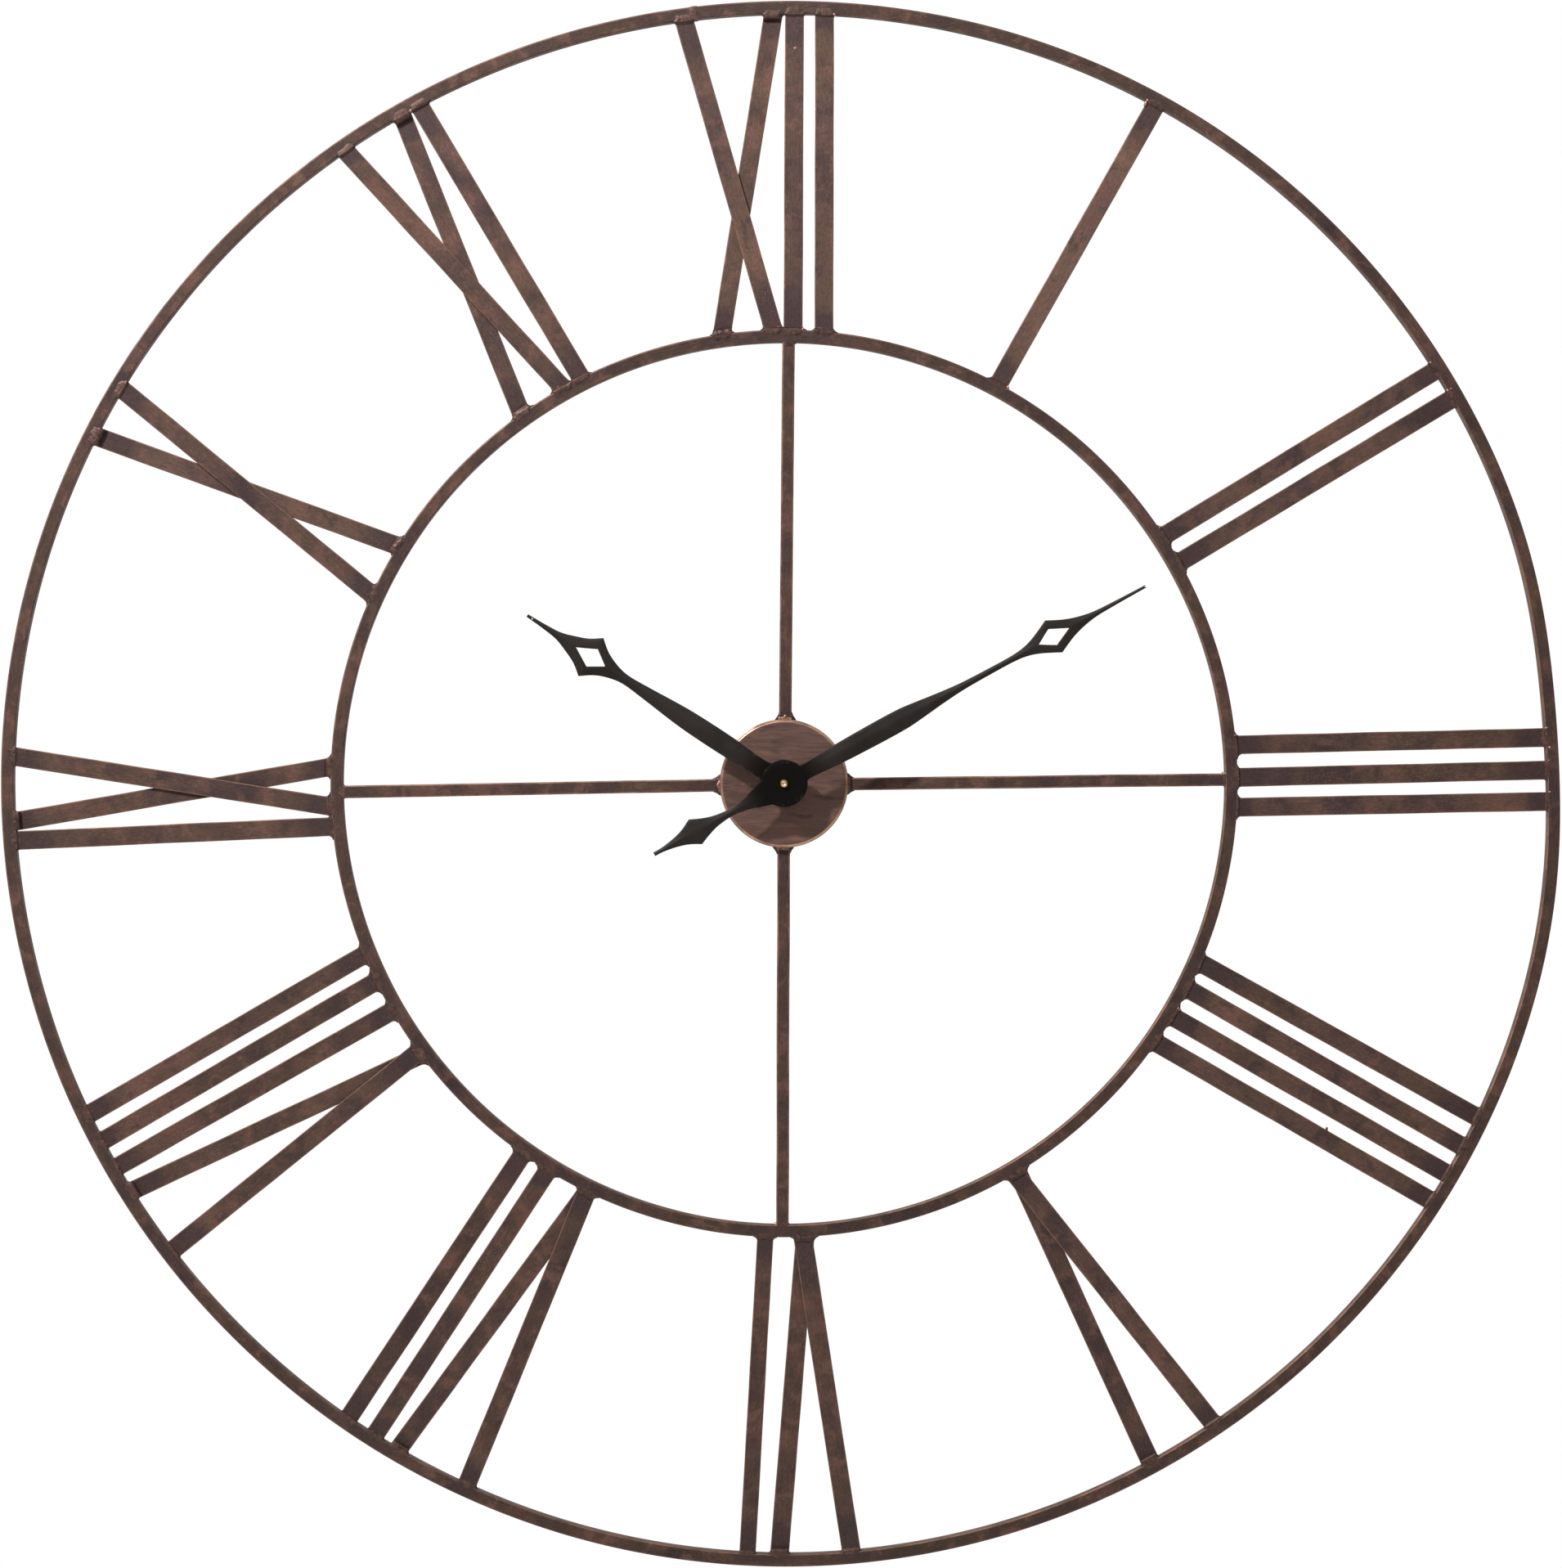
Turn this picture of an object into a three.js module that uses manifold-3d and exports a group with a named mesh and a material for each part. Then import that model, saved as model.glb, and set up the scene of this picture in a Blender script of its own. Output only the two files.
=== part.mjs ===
// Open wrought-iron wall clock with welded Roman numerals and a battery movement in its hub.
// Millimetres, +Z up. The origin is the point where the hanger bears on the wall hook, so the
// wall is the plane y = 0 and the clock stands out from it towards -Y.
import * as THREE from "three";
import { mergeVertices } from "three/addons/utils/BufferGeometryUtils.js";
import Module from "manifold-3d";

const wasm = await Module();
wasm.setup();

// ---- Driving dimensions ---------------------------------------------------------------------
// Depths are distances out from the wall, measured on the clock's own axis.
const fitGap = 0.3; // clearance between neighbouring pieces, filled by weld on the real clock
const barStock = 10; // square bar of both rings and the spokes
const flatWidth = 15; // flat bar of the numerals
const flatThickness = 3;
const hanger = { width: 34, height: 8.4, thickness: 1.5, standOff: 4.5, notchRadius: 2.2 };

const outerRadius = 622.6; // outside of the outer ring
const innerRadius = 361; // outside of the inner ring
const ringBack = hanger.standOff; // the hanger bridge holds the rings this far off the wall
const ringFront = ringBack + barStock;

// The outer ring was rolled by hand, so it isn't truly round: three low lobes, one flat stretch
// on the right and one swell at the upper right. Angles are degrees clockwise from twelve.
const outerRingLobes = { count: 3, height: 0.7, phase: 134 };
const outerRingUneven = [
  { height: -5.4, at: 86, spread: 8 },
  { height: 2.0, at: 26, spread: 16 },
];

const hub = { radius: 51, depth: 23, wall: 2, rim: 2.5, bore: 4.3 };
const frontLayer = ringFront - 1.3; // front face of the strokes that lie on top
const rearLayer = frontLayer - flatThickness - fitGap;

const movement = { size: 56, corner: 5, depth: 15, wall: 1.5, coverDepth: 1.6 };
const washerRubber = { radius: 13, thickness: 1 };
const washerBrass = { radius: 8.5, thickness: 0.8 };
const nut = { acrossFlats: 12, thickness: 2.4 };
const bushing = { radius: 4, bore: 2.85, reach: 15 }; // reach is from the movement's front face
const battery = { radius: 7.1, length: 49.2, nib: 1, nibRadius: 2.7, drop: 18.7 };
const batteryRoom = { ends: 1, sides: 0.6, behind: 0.4 }; // clearances round the battery

const toothModule = 0.5;
const teeth = { minutePinion: 10, motionWheel: 30, motionPinion: 8, hourWheel: 32 };
const gearCentres = (toothModule * (teeth.minutePinion + teeth.motionWheel)) / 2;
// Heights in modules and half widths in pitches.
const toothForm = { dedendum: 1.15, addendum: 0.75, rootHalf: 0.24, tipHalf: 0.1 };
const knob = { radius: 6.5, thickness: 3.4, gap: 0.6, flutes: 18, fluteDepth: 0.4 };

const hourHand = { angle: 303.2, depth: 45, boss: 18.6 };
const minuteHand = { angle: 61.4, depth: 49, boss: 18.4 };
const handSheet = 0.9;
const arborRadius = 1.5;
const hourTube = { radius: 2.5, bore: 1.85 };
const cap = { radius: 3.5, height: 4.6 };

// Numeral strokes: [angle at the outer ring, angle at the inner ring, layer, width]. Angles are
// degrees clockwise from twelve, where the middle of the stroke crosses the two gauge circles.
const outerGauge = 595;
const innerGauge = 380.5;
const numerals = {
  1: [[28.7, 28.3]],
  2: [[57.6, 57.0], [60.1, 60.7]],
  3: [[86.5, 85.3], [89.0, 89.2], [91.4, 92.8]],
  4: [[115.6, 113.6], [118.1, 117.1], [120.5, 120.9], [122.9, 124.6]],
  5: [[146.3, 149.0], [151.5, 149.3, "rear"]],
  6: [[175.1, 177.3], [180.2, 177.7, "rear"], [182.7, 182.4, "front", 13]],
  7: [[204.4, 205.6], [209.9, 206.3, "rear"], [212.1, 211.5], [214.5, 215.1]],
  8: [[232.7, 233.6], [237.8, 233.8, "rear"], [240.1, 239.9], [242.4, 243.9], [244.7, 247.4]],
  9: [[265.7, 264.7], [271.8, 267.7], [267.4, 271.5, "rear"]],
  10: [[300.5, 295.4], [297.0, 301.0, "rear"]],
  11: [[325.5, 330.1], [330.0, 325.3, "rear"], [331.8, 333.2]],
  12: [[-7.2, -2.1], [-1.1, -7.0, "rear"], [0.8, 1.1], [3.1, 4.8]],
};

// Spokes: angles where the middle of the spoke crosses the ring and the hub. They sit a little skew.
const spokeGauge = { ring: 350, hub: 60 };
const spokes = {
  top: { ring: 0.6, hub: 1.0 },
  right: { ring: 89.5, hub: 90.3 },
  bottom: { ring: 180.2, hub: 180.3 },
  left: { ring: 268.9, hub: 268.5 },
};

// Distance from the dial's centre up to the hook point, which is the notch in the hanger's edge.
const hangerLow = outerRadius - barStock + 0.6;
const hookHeight = hangerLow + hanger.notchRadius;

// ---- Finishes -------------------------------------------------------------------------------
const finishes = {
  bronzedIron: { color: 0x5d4841, roughness: 0.55, metalness: 0.7 },
  bronzedHub: { color: 0x5b453f, roughness: 0.45, metalness: 0.75 },
  blackHands: { color: 0x2c2725, roughness: 0.5, metalness: 0.3 },
  brass: { color: 0xc9a45c, roughness: 0.25, metalness: 1 },
  steel: { color: 0xa9a9a6, roughness: 0.35, metalness: 1 },
  blackPlastic: { color: 0x1b1b1c, roughness: 0.6, metalness: 0 },
  palePlastic: { color: 0xe6e2d6, roughness: 0.5, metalness: 0 },
  rubber: { color: 0x151515, roughness: 0.9, metalness: 0 },
  copperWire: { color: 0xa6562a, roughness: 0.4, metalness: 0.9 },
  batteryJacket: { color: 0x3d4650, roughness: 0.4, metalness: 0.2 },
};

// ---- Helpers --------------------------------------------------------------------------------
const clock = new THREE.Group(); // its local Z points out of the wall and its local Y points up
clock.rotation.x = Math.PI / 2;
clock.position.z = -hookHeight;

const radians = THREE.MathUtils.degToRad;
const rightThrough = 60; // length of a cutting tool that passes through everything in its way

// Point on the dial at an angle clockwise from twelve.
function onDial(angle, radius) {
  return new THREE.Vector2(radius * Math.sin(radians(angle)), radius * Math.cos(radians(angle)));
}

function addPart(name, geometry, finish) {
  const mesh = new THREE.Mesh(geometry, new THREE.MeshStandardMaterial(finishes[finish]));
  mesh.name = name;
  clock.add(mesh);
}

// Flat piece: an outline raised from one depth to another.
function plate(shape, back, front, curveSegments = 24) {
  const depth = front - back;
  const geometry = new THREE.ExtrudeGeometry(shape, { depth, bevelEnabled: false, curveSegments });
  return geometry.translate(0, 0, back);
}

// Turned piece: [radius, depth] corners revolved about the clock's axis, counter-clockwise round.
function turned(corners, segments = 48) {
  const profile = corners.map(([radius, depth]) => new THREE.Vector2(radius, depth));
  if (THREE.ShapeUtils.isClockWise(profile)) profile.reverse();
  const onAxis = profile.every((point) => point.x > 0) ? [profile[0].clone()] : [];
  return new THREE.LatheGeometry([...profile, ...onAxis], segments).rotateX(Math.PI / 2);
}

// Round rod on the clock's axis, from one depth to another.
function rod(radius, back, front, segments) {
  return turned([[0, back], [radius, back], [radius, front], [0, front]], segments);
}

function disc(radius) {
  return new THREE.Shape().absarc(0, 0, radius, 0, 2 * Math.PI, false);
}

function pierced(shape, ...holes) {
  shape.holes.push(...holes);
  return shape;
}

function toSolid(geometry) {
  const bare = geometry.clone().deleteAttribute("normal").deleteAttribute("uv");
  const merged = mergeVertices(bare, 1e-3);
  const vertProperties = merged.attributes.position.array;
  const triVerts = new Uint32Array(merged.index.array);
  return new wasm.Manifold(new wasm.Mesh({ numProp: 3, vertProperties, triVerts }));
}

function toGeometry(solid) {
  const { vertProperties, triVerts } = solid.getMesh();
  const geometry = new THREE.BufferGeometry();
  geometry.setAttribute("position", new THREE.BufferAttribute(vertProperties, 3));
  geometry.setIndex(new THREE.BufferAttribute(triVerts, 1));
  geometry.computeVertexNormals();
  return geometry;
}

function join(...geometries) {
  return toGeometry(geometries.map(toSolid).reduce((sum, next) => sum.add(next)));
}

function cut(geometry, ...tools) {
  return toGeometry(tools.map(toSolid).reduce((rest, tool) => rest.subtract(tool), toSolid(geometry)));
}

// ---- Rings ----------------------------------------------------------------------------------
// How far the hand-rolled outer ring strays from a true circle at an angle.
function ringDrift(angle) {
  const { count, height, phase } = outerRingLobes;
  const lobe = height * Math.cos(radians(count * angle - phase));
  return outerRingUneven.reduce((sum, stretch) => {
    const away = THREE.MathUtils.euclideanModulo(angle - stretch.at + 180, 360) - 180;
    return sum + stretch.height * Math.exp(-0.5 * (away / stretch.spread) ** 2);
  }, lobe);
}

function outerRingInside(angle) {
  return outerRadius - barStock + ringDrift(angle);
}

function innerRingOutside() {
  return innerRadius;
}

function innerRingInside() {
  return innerRadius - barStock;
}

function hubOutside() {
  return hub.radius;
}

function ringShape(radiusAt, width, steps) {
  const angles = Array.from({ length: steps }, (_, i) => (-360 * i) / steps);
  const outline = angles.map((angle) => onDial(angle, radiusAt(angle)));
  const inside = angles.map((angle) => onDial(angle, radiusAt(angle) - width));
  return pierced(new THREE.Shape(outline), new THREE.Path(inside.reverse()));
}

function buildRings() {
  const outer = ringShape((angle) => outerRadius + ringDrift(angle), barStock, 180);
  const inner = ringShape(innerRingOutside, barStock, 120);
  addPart("outer_ring", plate(outer, ringBack, ringFront), "bronzedIron");
  addPart("inner_ring", plate(inner, ringBack, ringFront), "bronzedIron");
}

// ---- Straight bars between two round faces --------------------------------------------------
// Where a line meets a round face, which is near enough square to the line to be walked to.
function meet(start, direction, faceAt) {
  const point = start.clone();
  for (let step = 0; step < 12; step += 1) {
    const angle = THREE.MathUtils.radToDeg(Math.atan2(point.x, point.y));
    const outward = Math.sign(point.dot(direction));
    point.addScaledVector(direction, outward * (faceAt(angle) - point.length()));
  }
  return point;
}

// Outline of a bar through two points, its ends cut to the faces they butt against.
function barShape(from, to, width, outerFace, innerFace) {
  const along = to.clone().sub(from).normalize();
  const aside = new THREE.Vector2(-along.y, along.x).multiplyScalar(width / 2);
  const left = from.clone().add(aside);
  const right = from.clone().sub(aside);
  const nearLeft = to.clone().add(aside);
  const nearRight = to.clone().sub(aside);
  return new THREE.Shape([
    meet(left, along, (angle) => outerFace(angle) - fitGap),
    meet(nearLeft, along, (angle) => innerFace(angle) + fitGap),
    meet(nearRight, along, (angle) => innerFace(angle) + fitGap),
    meet(right, along, (angle) => outerFace(angle) - fitGap),
  ]);
}

function buildNumerals() {
  for (const [hour, strokes] of Object.entries(numerals)) {
    strokes.forEach(([outerAngle, innerAngle, layer = "front", width = flatWidth], i) => {
      const from = onDial(outerAngle, outerGauge);
      const to = onDial(innerAngle, innerGauge);
      const shape = barShape(from, to, width, outerRingInside, innerRingOutside);
      const front = layer === "rear" ? rearLayer : frontLayer;
      const geometry = plate(shape, front - flatThickness, front);
      addPart(`numeral_${hour}_bar_${i + 1}`, geometry, "bronzedIron");
    });
  }
}

function buildSpokes() {
  for (const [side, angles] of Object.entries(spokes)) {
    const from = onDial(angles.ring, spokeGauge.ring);
    const to = onDial(angles.hub, spokeGauge.hub);
    const shape = barShape(from, to, barStock, innerRingInside, hubOutside);
    addPart(`spoke_${side}`, plate(shape, ringBack, ringFront), "bronzedIron");
  }
}

// ---- Hub and hanger -------------------------------------------------------------------------
// Round cup, open towards the wall, with a rolled front rim and a bore for the movement.
function buildHub() {
  const inside = hub.radius - hub.wall;
  const rimSteps = 5;
  const rim = Array.from({ length: rimSteps + 1 }, (_, i) => {
    const turn = (Math.PI / 2) * (i / rimSteps);
    const radius = hub.radius - hub.rim + hub.rim * Math.cos(turn);
    return [radius, hub.depth - hub.rim + hub.rim * Math.sin(turn)];
  });
  const corners = [
    [hub.radius, 0],
    ...rim,
    [hub.bore, hub.depth],
    [hub.bore, hub.depth - hub.wall],
    [inside, hub.depth - hub.wall],
    [inside, 0],
  ];
  addPart("hub_cup", turned(corners, 96), "bronzedHub");
}

// Bridge of strip behind the top of the outer ring: its feet meet the ring, its middle stands
// clear of it, and a notch in its lower edge keeps it centred on the hook.
function buildHanger() {
  const half = hanger.width / 2;
  const high = hangerLow + hanger.height;
  const strip = new THREE.Shape();
  strip.moveTo(-half, hangerLow);
  strip.lineTo(-hanger.notchRadius, hangerLow);
  strip.absarc(0, hangerLow, hanger.notchRadius, Math.PI, 0, true);
  strip.lineTo(half, hangerLow);
  strip.lineTo(half, high);
  strip.lineTo(-half, high);
  const footWidth = 6;
  const feet = [-1, 1].map((side) => {
    const foot = new THREE.BoxGeometry(footWidth, hanger.height, hanger.standOff - fitGap);
    const x = side * (half - footWidth / 2);
    return foot.translate(x, hangerLow + hanger.height / 2, (hanger.standOff - fitGap) / 2);
  });
  addPart("hanger_bridge", join(plate(strip, 0, hanger.thickness, 10), ...feet), "steel");
}

// ---- Movement -------------------------------------------------------------------------------
const caseFront = hub.depth - hub.wall - washerRubber.thickness;
const caseBack = caseFront - movement.depth;
const caseInside = caseFront - movement.wall; // inner face of the case's front wall
const spindleRadius = 1.2;

function roundedSquare(size, corner) {
  const half = size / 2;
  const near = half - corner;
  const shape = new THREE.Shape();
  shape.absarc(near, near, corner, 0, Math.PI / 2, false);
  shape.absarc(-near, near, corner, Math.PI / 2, Math.PI, false);
  shape.absarc(-near, -near, corner, Math.PI, 1.5 * Math.PI, false);
  shape.absarc(near, -near, corner, 1.5 * Math.PI, 2 * Math.PI, false);
  return shape;
}

function box(left, right, low, high, back, front) {
  const geometry = new THREE.BoxGeometry(right - left, high - low, front - back);
  return geometry.translate((left + right) / 2, (low + high) / 2, (back + front) / 2);
}

function movementCase() {
  const { size, corner, wall, coverDepth } = movement;
  const lip = caseBack + coverDepth + fitGap;
  const body = plate(roundedSquare(size, corner), lip, caseFront, 6);
  const hollow = plate(roundedSquare(size - 2 * wall, corner - wall), lip - 1, caseInside, 6);
  const bore = rod(bushing.bore, 0, rightThrough, 32);
  const tube = rod(bushing.radius, caseInside, caseFront + bushing.reach, 32);
  const shell = cut(body, hollow);
  addPart("movement_case", cut(join(shell, tube), bore), "blackPlastic");
}

// The battery lies in an opening of the rear cover, and the setting spindle passes through it.
function movementCover() {
  const { size, corner, coverDepth } = movement;
  const slab = plate(roundedSquare(size, corner), caseBack, caseBack + coverDepth, 6);
  const bayHalf = battery.length / 2 + battery.nib + batteryRoom.ends;
  const bayLow = -battery.drop - battery.radius - batteryRoom.sides;
  const bayHigh = -battery.drop + battery.radius + batteryRoom.sides;
  const bay = box(-bayHalf, bayHalf, bayLow, bayHigh, 0, caseInside);
  const hole = rod(spindleRadius + fitGap, 0, rightThrough, 24);
  addPart("movement_cover", cut(slab, bay, hole.translate(0, gearCentres, 0)), "blackPlastic");
}

function batteryParts() {
  const middle = caseInside - battery.radius - batteryRoom.behind;
  const half = battery.length / 2;
  const { radius, nib, nibRadius, drop } = battery;
  const outline = [[0, -half], [radius, -half], [radius, half], [nibRadius, half]];
  const cell = turned([...outline, [nibRadius, half + nib], [0, half + nib]], 32);
  cell.rotateY(Math.PI / 2).translate(0, -drop, middle);
  addPart("battery_cell", cell, "batteryJacket");

  const contact = { width: 9, thickness: 0.4, low: caseInside - 13, high: caseInside - 0.4 };
  const plus = half + nib + fitGap;
  const minus = -half - fitGap - contact.thickness;
  const across = [-drop - contact.width / 2, -drop + contact.width / 2];
  for (const [name, left] of [["battery_contact_plus", plus], ["battery_contact_minus", minus]]) {
    const right = left + contact.thickness;
    addPart(name, box(left, right, ...across, contact.low, contact.high), "steel");
  }
}

// Drive coil: a wound bobbin between two square cheeks, left of the wheels.
function driveCoil() {
  const coil = { x: -18.5, low: -4, high: 20, core: 4.6, cheek: 11, cheekThickness: 1.5 };
  const middle = (caseBack + movement.coverDepth + caseInside) / 2;
  const winding = new THREE.CylinderGeometry(coil.core, coil.core, coil.high - coil.low, 32);
  winding.translate(coil.x, (coil.low + coil.high) / 2, middle);
  const half = coil.cheek / 2;
  const cheeks = [coil.low, coil.high - coil.cheekThickness].map((low) => {
    const high = low + coil.cheekThickness;
    return box(coil.x - half, coil.x + half, low, high, middle - half, middle + half);
  });
  addPart("drive_coil", join(winding, ...cheeks), "copperWire");
}

// ---- Motion work ----------------------------------------------------------------------------
// Spur gear outline with slim teeth, so that the train runs with backlash at every angle.
function gearShape(count, turn) {
  const pitchRadius = (toothModule * count) / 2;
  const pitch = 360 / count;
  const root = pitchRadius - toothForm.dedendum * toothModule;
  const tip = pitchRadius + toothForm.addendum * toothModule;
  const { rootHalf, tipHalf } = toothForm;
  const corners = [[-rootHalf, root], [-tipHalf, tip], [tipHalf, tip], [rootHalf, root]];
  const points = [];
  for (let tooth = 0; tooth < count; tooth += 1) {
    for (const [share, radius] of corners) {
      points.push(onDial(turn + (tooth + share) * pitch, radius));
    }
  }
  return new THREE.Shape(points.reverse());
}

const layers = {
  rearWheels: [caseBack + 6, caseBack + 7.5], // minute pinion drives the motion wheel here
  frontWheels: [caseInside - 3, caseInside - 1.5], // motion pinion drives the hour wheel here
};

// Each driven gear is turned so that a gap meets the tooth of the gear that drives it.
const gapFirst = { motionWheel: 180 / teeth.motionWheel, hourWheel: 180 / teeth.hourWheel };

function motionWheel() {
  const [rearLow, rearHigh] = layers.rearWheels;
  const [frontLow, frontHigh] = layers.frontWheels;
  const wheel = plate(gearShape(teeth.motionWheel, 180 + gapFirst.motionWheel), rearLow, rearHigh);
  const pinion = plate(gearShape(teeth.motionPinion, 180), rearHigh - 0.5, frontHigh + 0.4);
  const sunk = 0.4; // the spindle ends just inside the knob's face
  const spindle = rod(spindleRadius, caseBack - knob.gap - knob.thickness + sunk, frontLow - 0.5, 24);
  const geometry = join(wheel, pinion, spindle).translate(0, gearCentres, 0);
  addPart("motion_wheel", geometry, "palePlastic");
}

// Thumb wheel on the end of the motion wheel's spindle, with a grip of shallow flutes.
function settingKnob() {
  const front = caseBack - knob.gap;
  const points = [];
  for (let step = 0; step < 2 * knob.flutes; step += 1) {
    const radius = knob.radius - (step % 2) * knob.fluteDepth;
    points.push(onDial((-180 * step) / knob.flutes, radius));
  }
  const hole = new THREE.Path().absarc(0, 0, spindleRadius + fitGap, 0, 2 * Math.PI, true);
  const ring = plate(pierced(new THREE.Shape(points), hole), front - knob.thickness, front, 12);
  addPart("setting_knob", ring.translate(0, gearCentres, 0), "palePlastic");
}

function hourWheel() {
  const [low, high] = layers.frontWheels;
  const top = hourHand.depth + handSheet + 0.8;
  const wheel = plate(gearShape(teeth.hourWheel, gapFirst.hourWheel), low, high);
  const { radius, bore } = hourTube;
  const tube = rod(radius, low, top, 32);
  const hollow = rod(bore, 0, rightThrough, 32);
  addPart("hour_wheel", cut(join(wheel, tube), hollow), "palePlastic");
}

function minuteArbor() {
  const [low, high] = layers.rearWheels;
  const back = caseBack + movement.coverDepth + 1;
  const top = minuteHand.depth + handSheet + 2.2;
  const flange = { radius: 5, front: low - 0.8 };
  const shaft = turned([[0, back], [flange.radius, back], [flange.radius, flange.front],
    [arborRadius, flange.front], [arborRadius, top], [0, top]], 32);
  const pinion = plate(gearShape(teeth.minutePinion, 0), low - 0.3, high + 0.3);
  addPart("minute_arbor", join(shaft, pinion), "steel");
}

// ---- Fixings on the front of the hub --------------------------------------------------------
function fixings() {
  const rubberBack = caseFront + 0.1;
  const rubberFront = hub.depth - hub.wall - 0.1;
  const clearance = bushing.radius + fitGap;
  const soft = washerRubber.radius;
  const hard = washerBrass.radius;
  const brassBack = hub.depth + fitGap;
  const brassFront = brassBack + washerBrass.thickness;
  addPart("rubber_washer", turned([[clearance, rubberBack], [soft, rubberBack], [soft, rubberFront],
    [clearance, rubberFront]]), "rubber");
  addPart("brass_washer", turned([[clearance, brassBack], [hard, brassBack], [hard, brassFront],
    [clearance, brassFront]]), "brass");

  const corner = nut.acrossFlats / Math.sqrt(3);
  const hexagon = Array.from({ length: 6 }, (_, i) => onDial(-60 * i, corner));
  const bore = new THREE.Path().absarc(0, 0, clearance, 0, 2 * Math.PI, true);
  const nutBack = brassFront + fitGap;
  const hexNut = plate(pierced(new THREE.Shape(hexagon), bore), nutBack, nutBack + nut.thickness);
  addPart("mounting_nut", hexNut, "brass");
}

// ---- Hands ----------------------------------------------------------------------------------
// A blade that points up: [half width, distance] stations from the root to the shoulder and from
// the shoulder to the tip, each leg one smooth curve, mirrored about the blade's middle line.
function bladeShape(shaft, needle, window) {
  const legs = [shaft, needle].map((stations) => {
    const curve = new THREE.SplineCurve(stations.map(([half, far]) => new THREE.Vector2(half, far)));
    return curve.getPoints(6 * stations.length);
  });
  const side = [...legs[0], ...legs[1].slice(1)];
  const mirrored = side.map((point) => new THREE.Vector2(-point.x, point.y)).reverse();
  const shape = new THREE.Shape([...side, ...mirrored]);
  if (window) {
    const { near, wide, far, half } = window;
    const corners = [[0, near], [-half, wide], [0, far], [half, wide]];
    shape.holes.push(new THREE.Path(corners.map(([x, y]) => new THREE.Vector2(x, y))));
  }
  return shape;
}

const hourBlade = bladeShape(
  [[9, 12], [6.9, 24], [8.1, 48], [8.3, 74], [7.6, 98], [5.2, 128], [4.0, 149], [6.5, 162], [11.1, 172.5],
    [18, 181.7]],
  [[18, 181.7], [11.4, 191], [6.9, 201.5], [3.3, 212.5], [1.9, 226], [1.2, 241.6]],
  { near: 168.3, wide: 180.6, far: 195.8, half: 8.1 },
);

const minuteBlade = bladeShape(
  [[8, 12], [6.2, 22], [7.8, 49], [8.5, 80], [8.4, 105], [7.2, 119], [4.5, 142], [2.9, 162], [2.4, 190],
    [2.6, 206], [4.0, 217], [7.5, 227.5], [14.3, 241.6]],
  [[14.3, 241.6], [8.4, 254], [4.8, 265], [2.4, 278], [1.6, 296], [1.1, 324]],
  { near: 228.1, wide: 240.5, far: 255.5, half: 7.1 },
);

const minuteTail = bladeShape(
  [[12, 11], [9.4, 18.5], [7.6, 25], [4.6, 34], [3.0, 47.5], [4.4, 61], [7.3, 70.5], [11.1, 79.4]],
  [[11.1, 79.4], [6.6, 88], [3.8, 97], [1.9, 108], [1.6, 116.3]],
);

function buildHand(name, hand, bore, blade, tail) {
  const front = hand.depth + handSheet;
  const pieces = [plate(disc(hand.boss), hand.depth, front, 48), plate(blade, hand.depth, front)];
  if (tail) pieces.push(plate(tail, hand.depth, front).rotateZ(Math.PI));
  const past = 1;
  const hole = plate(disc(bore), hand.depth - past, front + past, 24);
  const geometry = cut(join(...pieces), hole).rotateZ(-radians(hand.angle));
  addPart(name, geometry, "blackHands");
}

// Domed cap nut that holds the minute hand on its arbor, hollow behind.
function minuteCap() {
  const back = minuteHand.depth + handSheet + fitGap;
  const hollow = arborRadius + fitGap;
  const dome = Array.from({ length: 6 }, (_, i) => {
    const turn = (Math.PI / 2) * (i / 5);
    return [cap.radius * Math.cos(turn), back + cap.height - cap.radius + cap.radius * Math.sin(turn)];
  });
  const depth = 3;
  addPart("minute_cap_nut", turned([[0, back + depth], [hollow, back + depth], [hollow, back],
    [cap.radius, back], ...dome.slice(0, -1), [0, back + cap.height]], 32), "brass");
}

buildRings();
buildNumerals();
buildSpokes();
buildHub();
buildHanger();
movementCase();
movementCover();
batteryParts();
driveCoil();
motionWheel();
settingKnob();
hourWheel();
minuteArbor();
fixings();
buildHand("hour_hand", hourHand, hourTube.radius + fitGap, hourBlade);
buildHand("minute_hand", minuteHand, arborRadius + fitGap, minuteBlade, minuteTail);
minuteCap();

const wallClock = new THREE.Group();
wallClock.add(clock);

export default wallClock;
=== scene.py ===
import math
import random

import bmesh
import bpy
from mathutils import Matrix, Vector, noise


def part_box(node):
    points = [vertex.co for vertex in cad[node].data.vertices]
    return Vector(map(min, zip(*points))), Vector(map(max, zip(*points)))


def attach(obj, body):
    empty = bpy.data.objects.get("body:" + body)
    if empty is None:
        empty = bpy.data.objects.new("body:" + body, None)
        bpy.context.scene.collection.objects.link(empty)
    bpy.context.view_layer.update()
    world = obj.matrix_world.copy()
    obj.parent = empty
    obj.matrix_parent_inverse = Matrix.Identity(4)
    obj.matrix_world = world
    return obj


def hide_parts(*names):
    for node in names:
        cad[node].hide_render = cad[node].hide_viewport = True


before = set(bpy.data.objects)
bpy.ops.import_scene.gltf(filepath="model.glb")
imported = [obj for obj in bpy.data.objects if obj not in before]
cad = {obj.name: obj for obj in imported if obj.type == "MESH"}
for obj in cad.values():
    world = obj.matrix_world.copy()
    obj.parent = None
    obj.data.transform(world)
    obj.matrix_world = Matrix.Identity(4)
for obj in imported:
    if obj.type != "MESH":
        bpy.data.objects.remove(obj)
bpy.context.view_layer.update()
mm = 0.001

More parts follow.
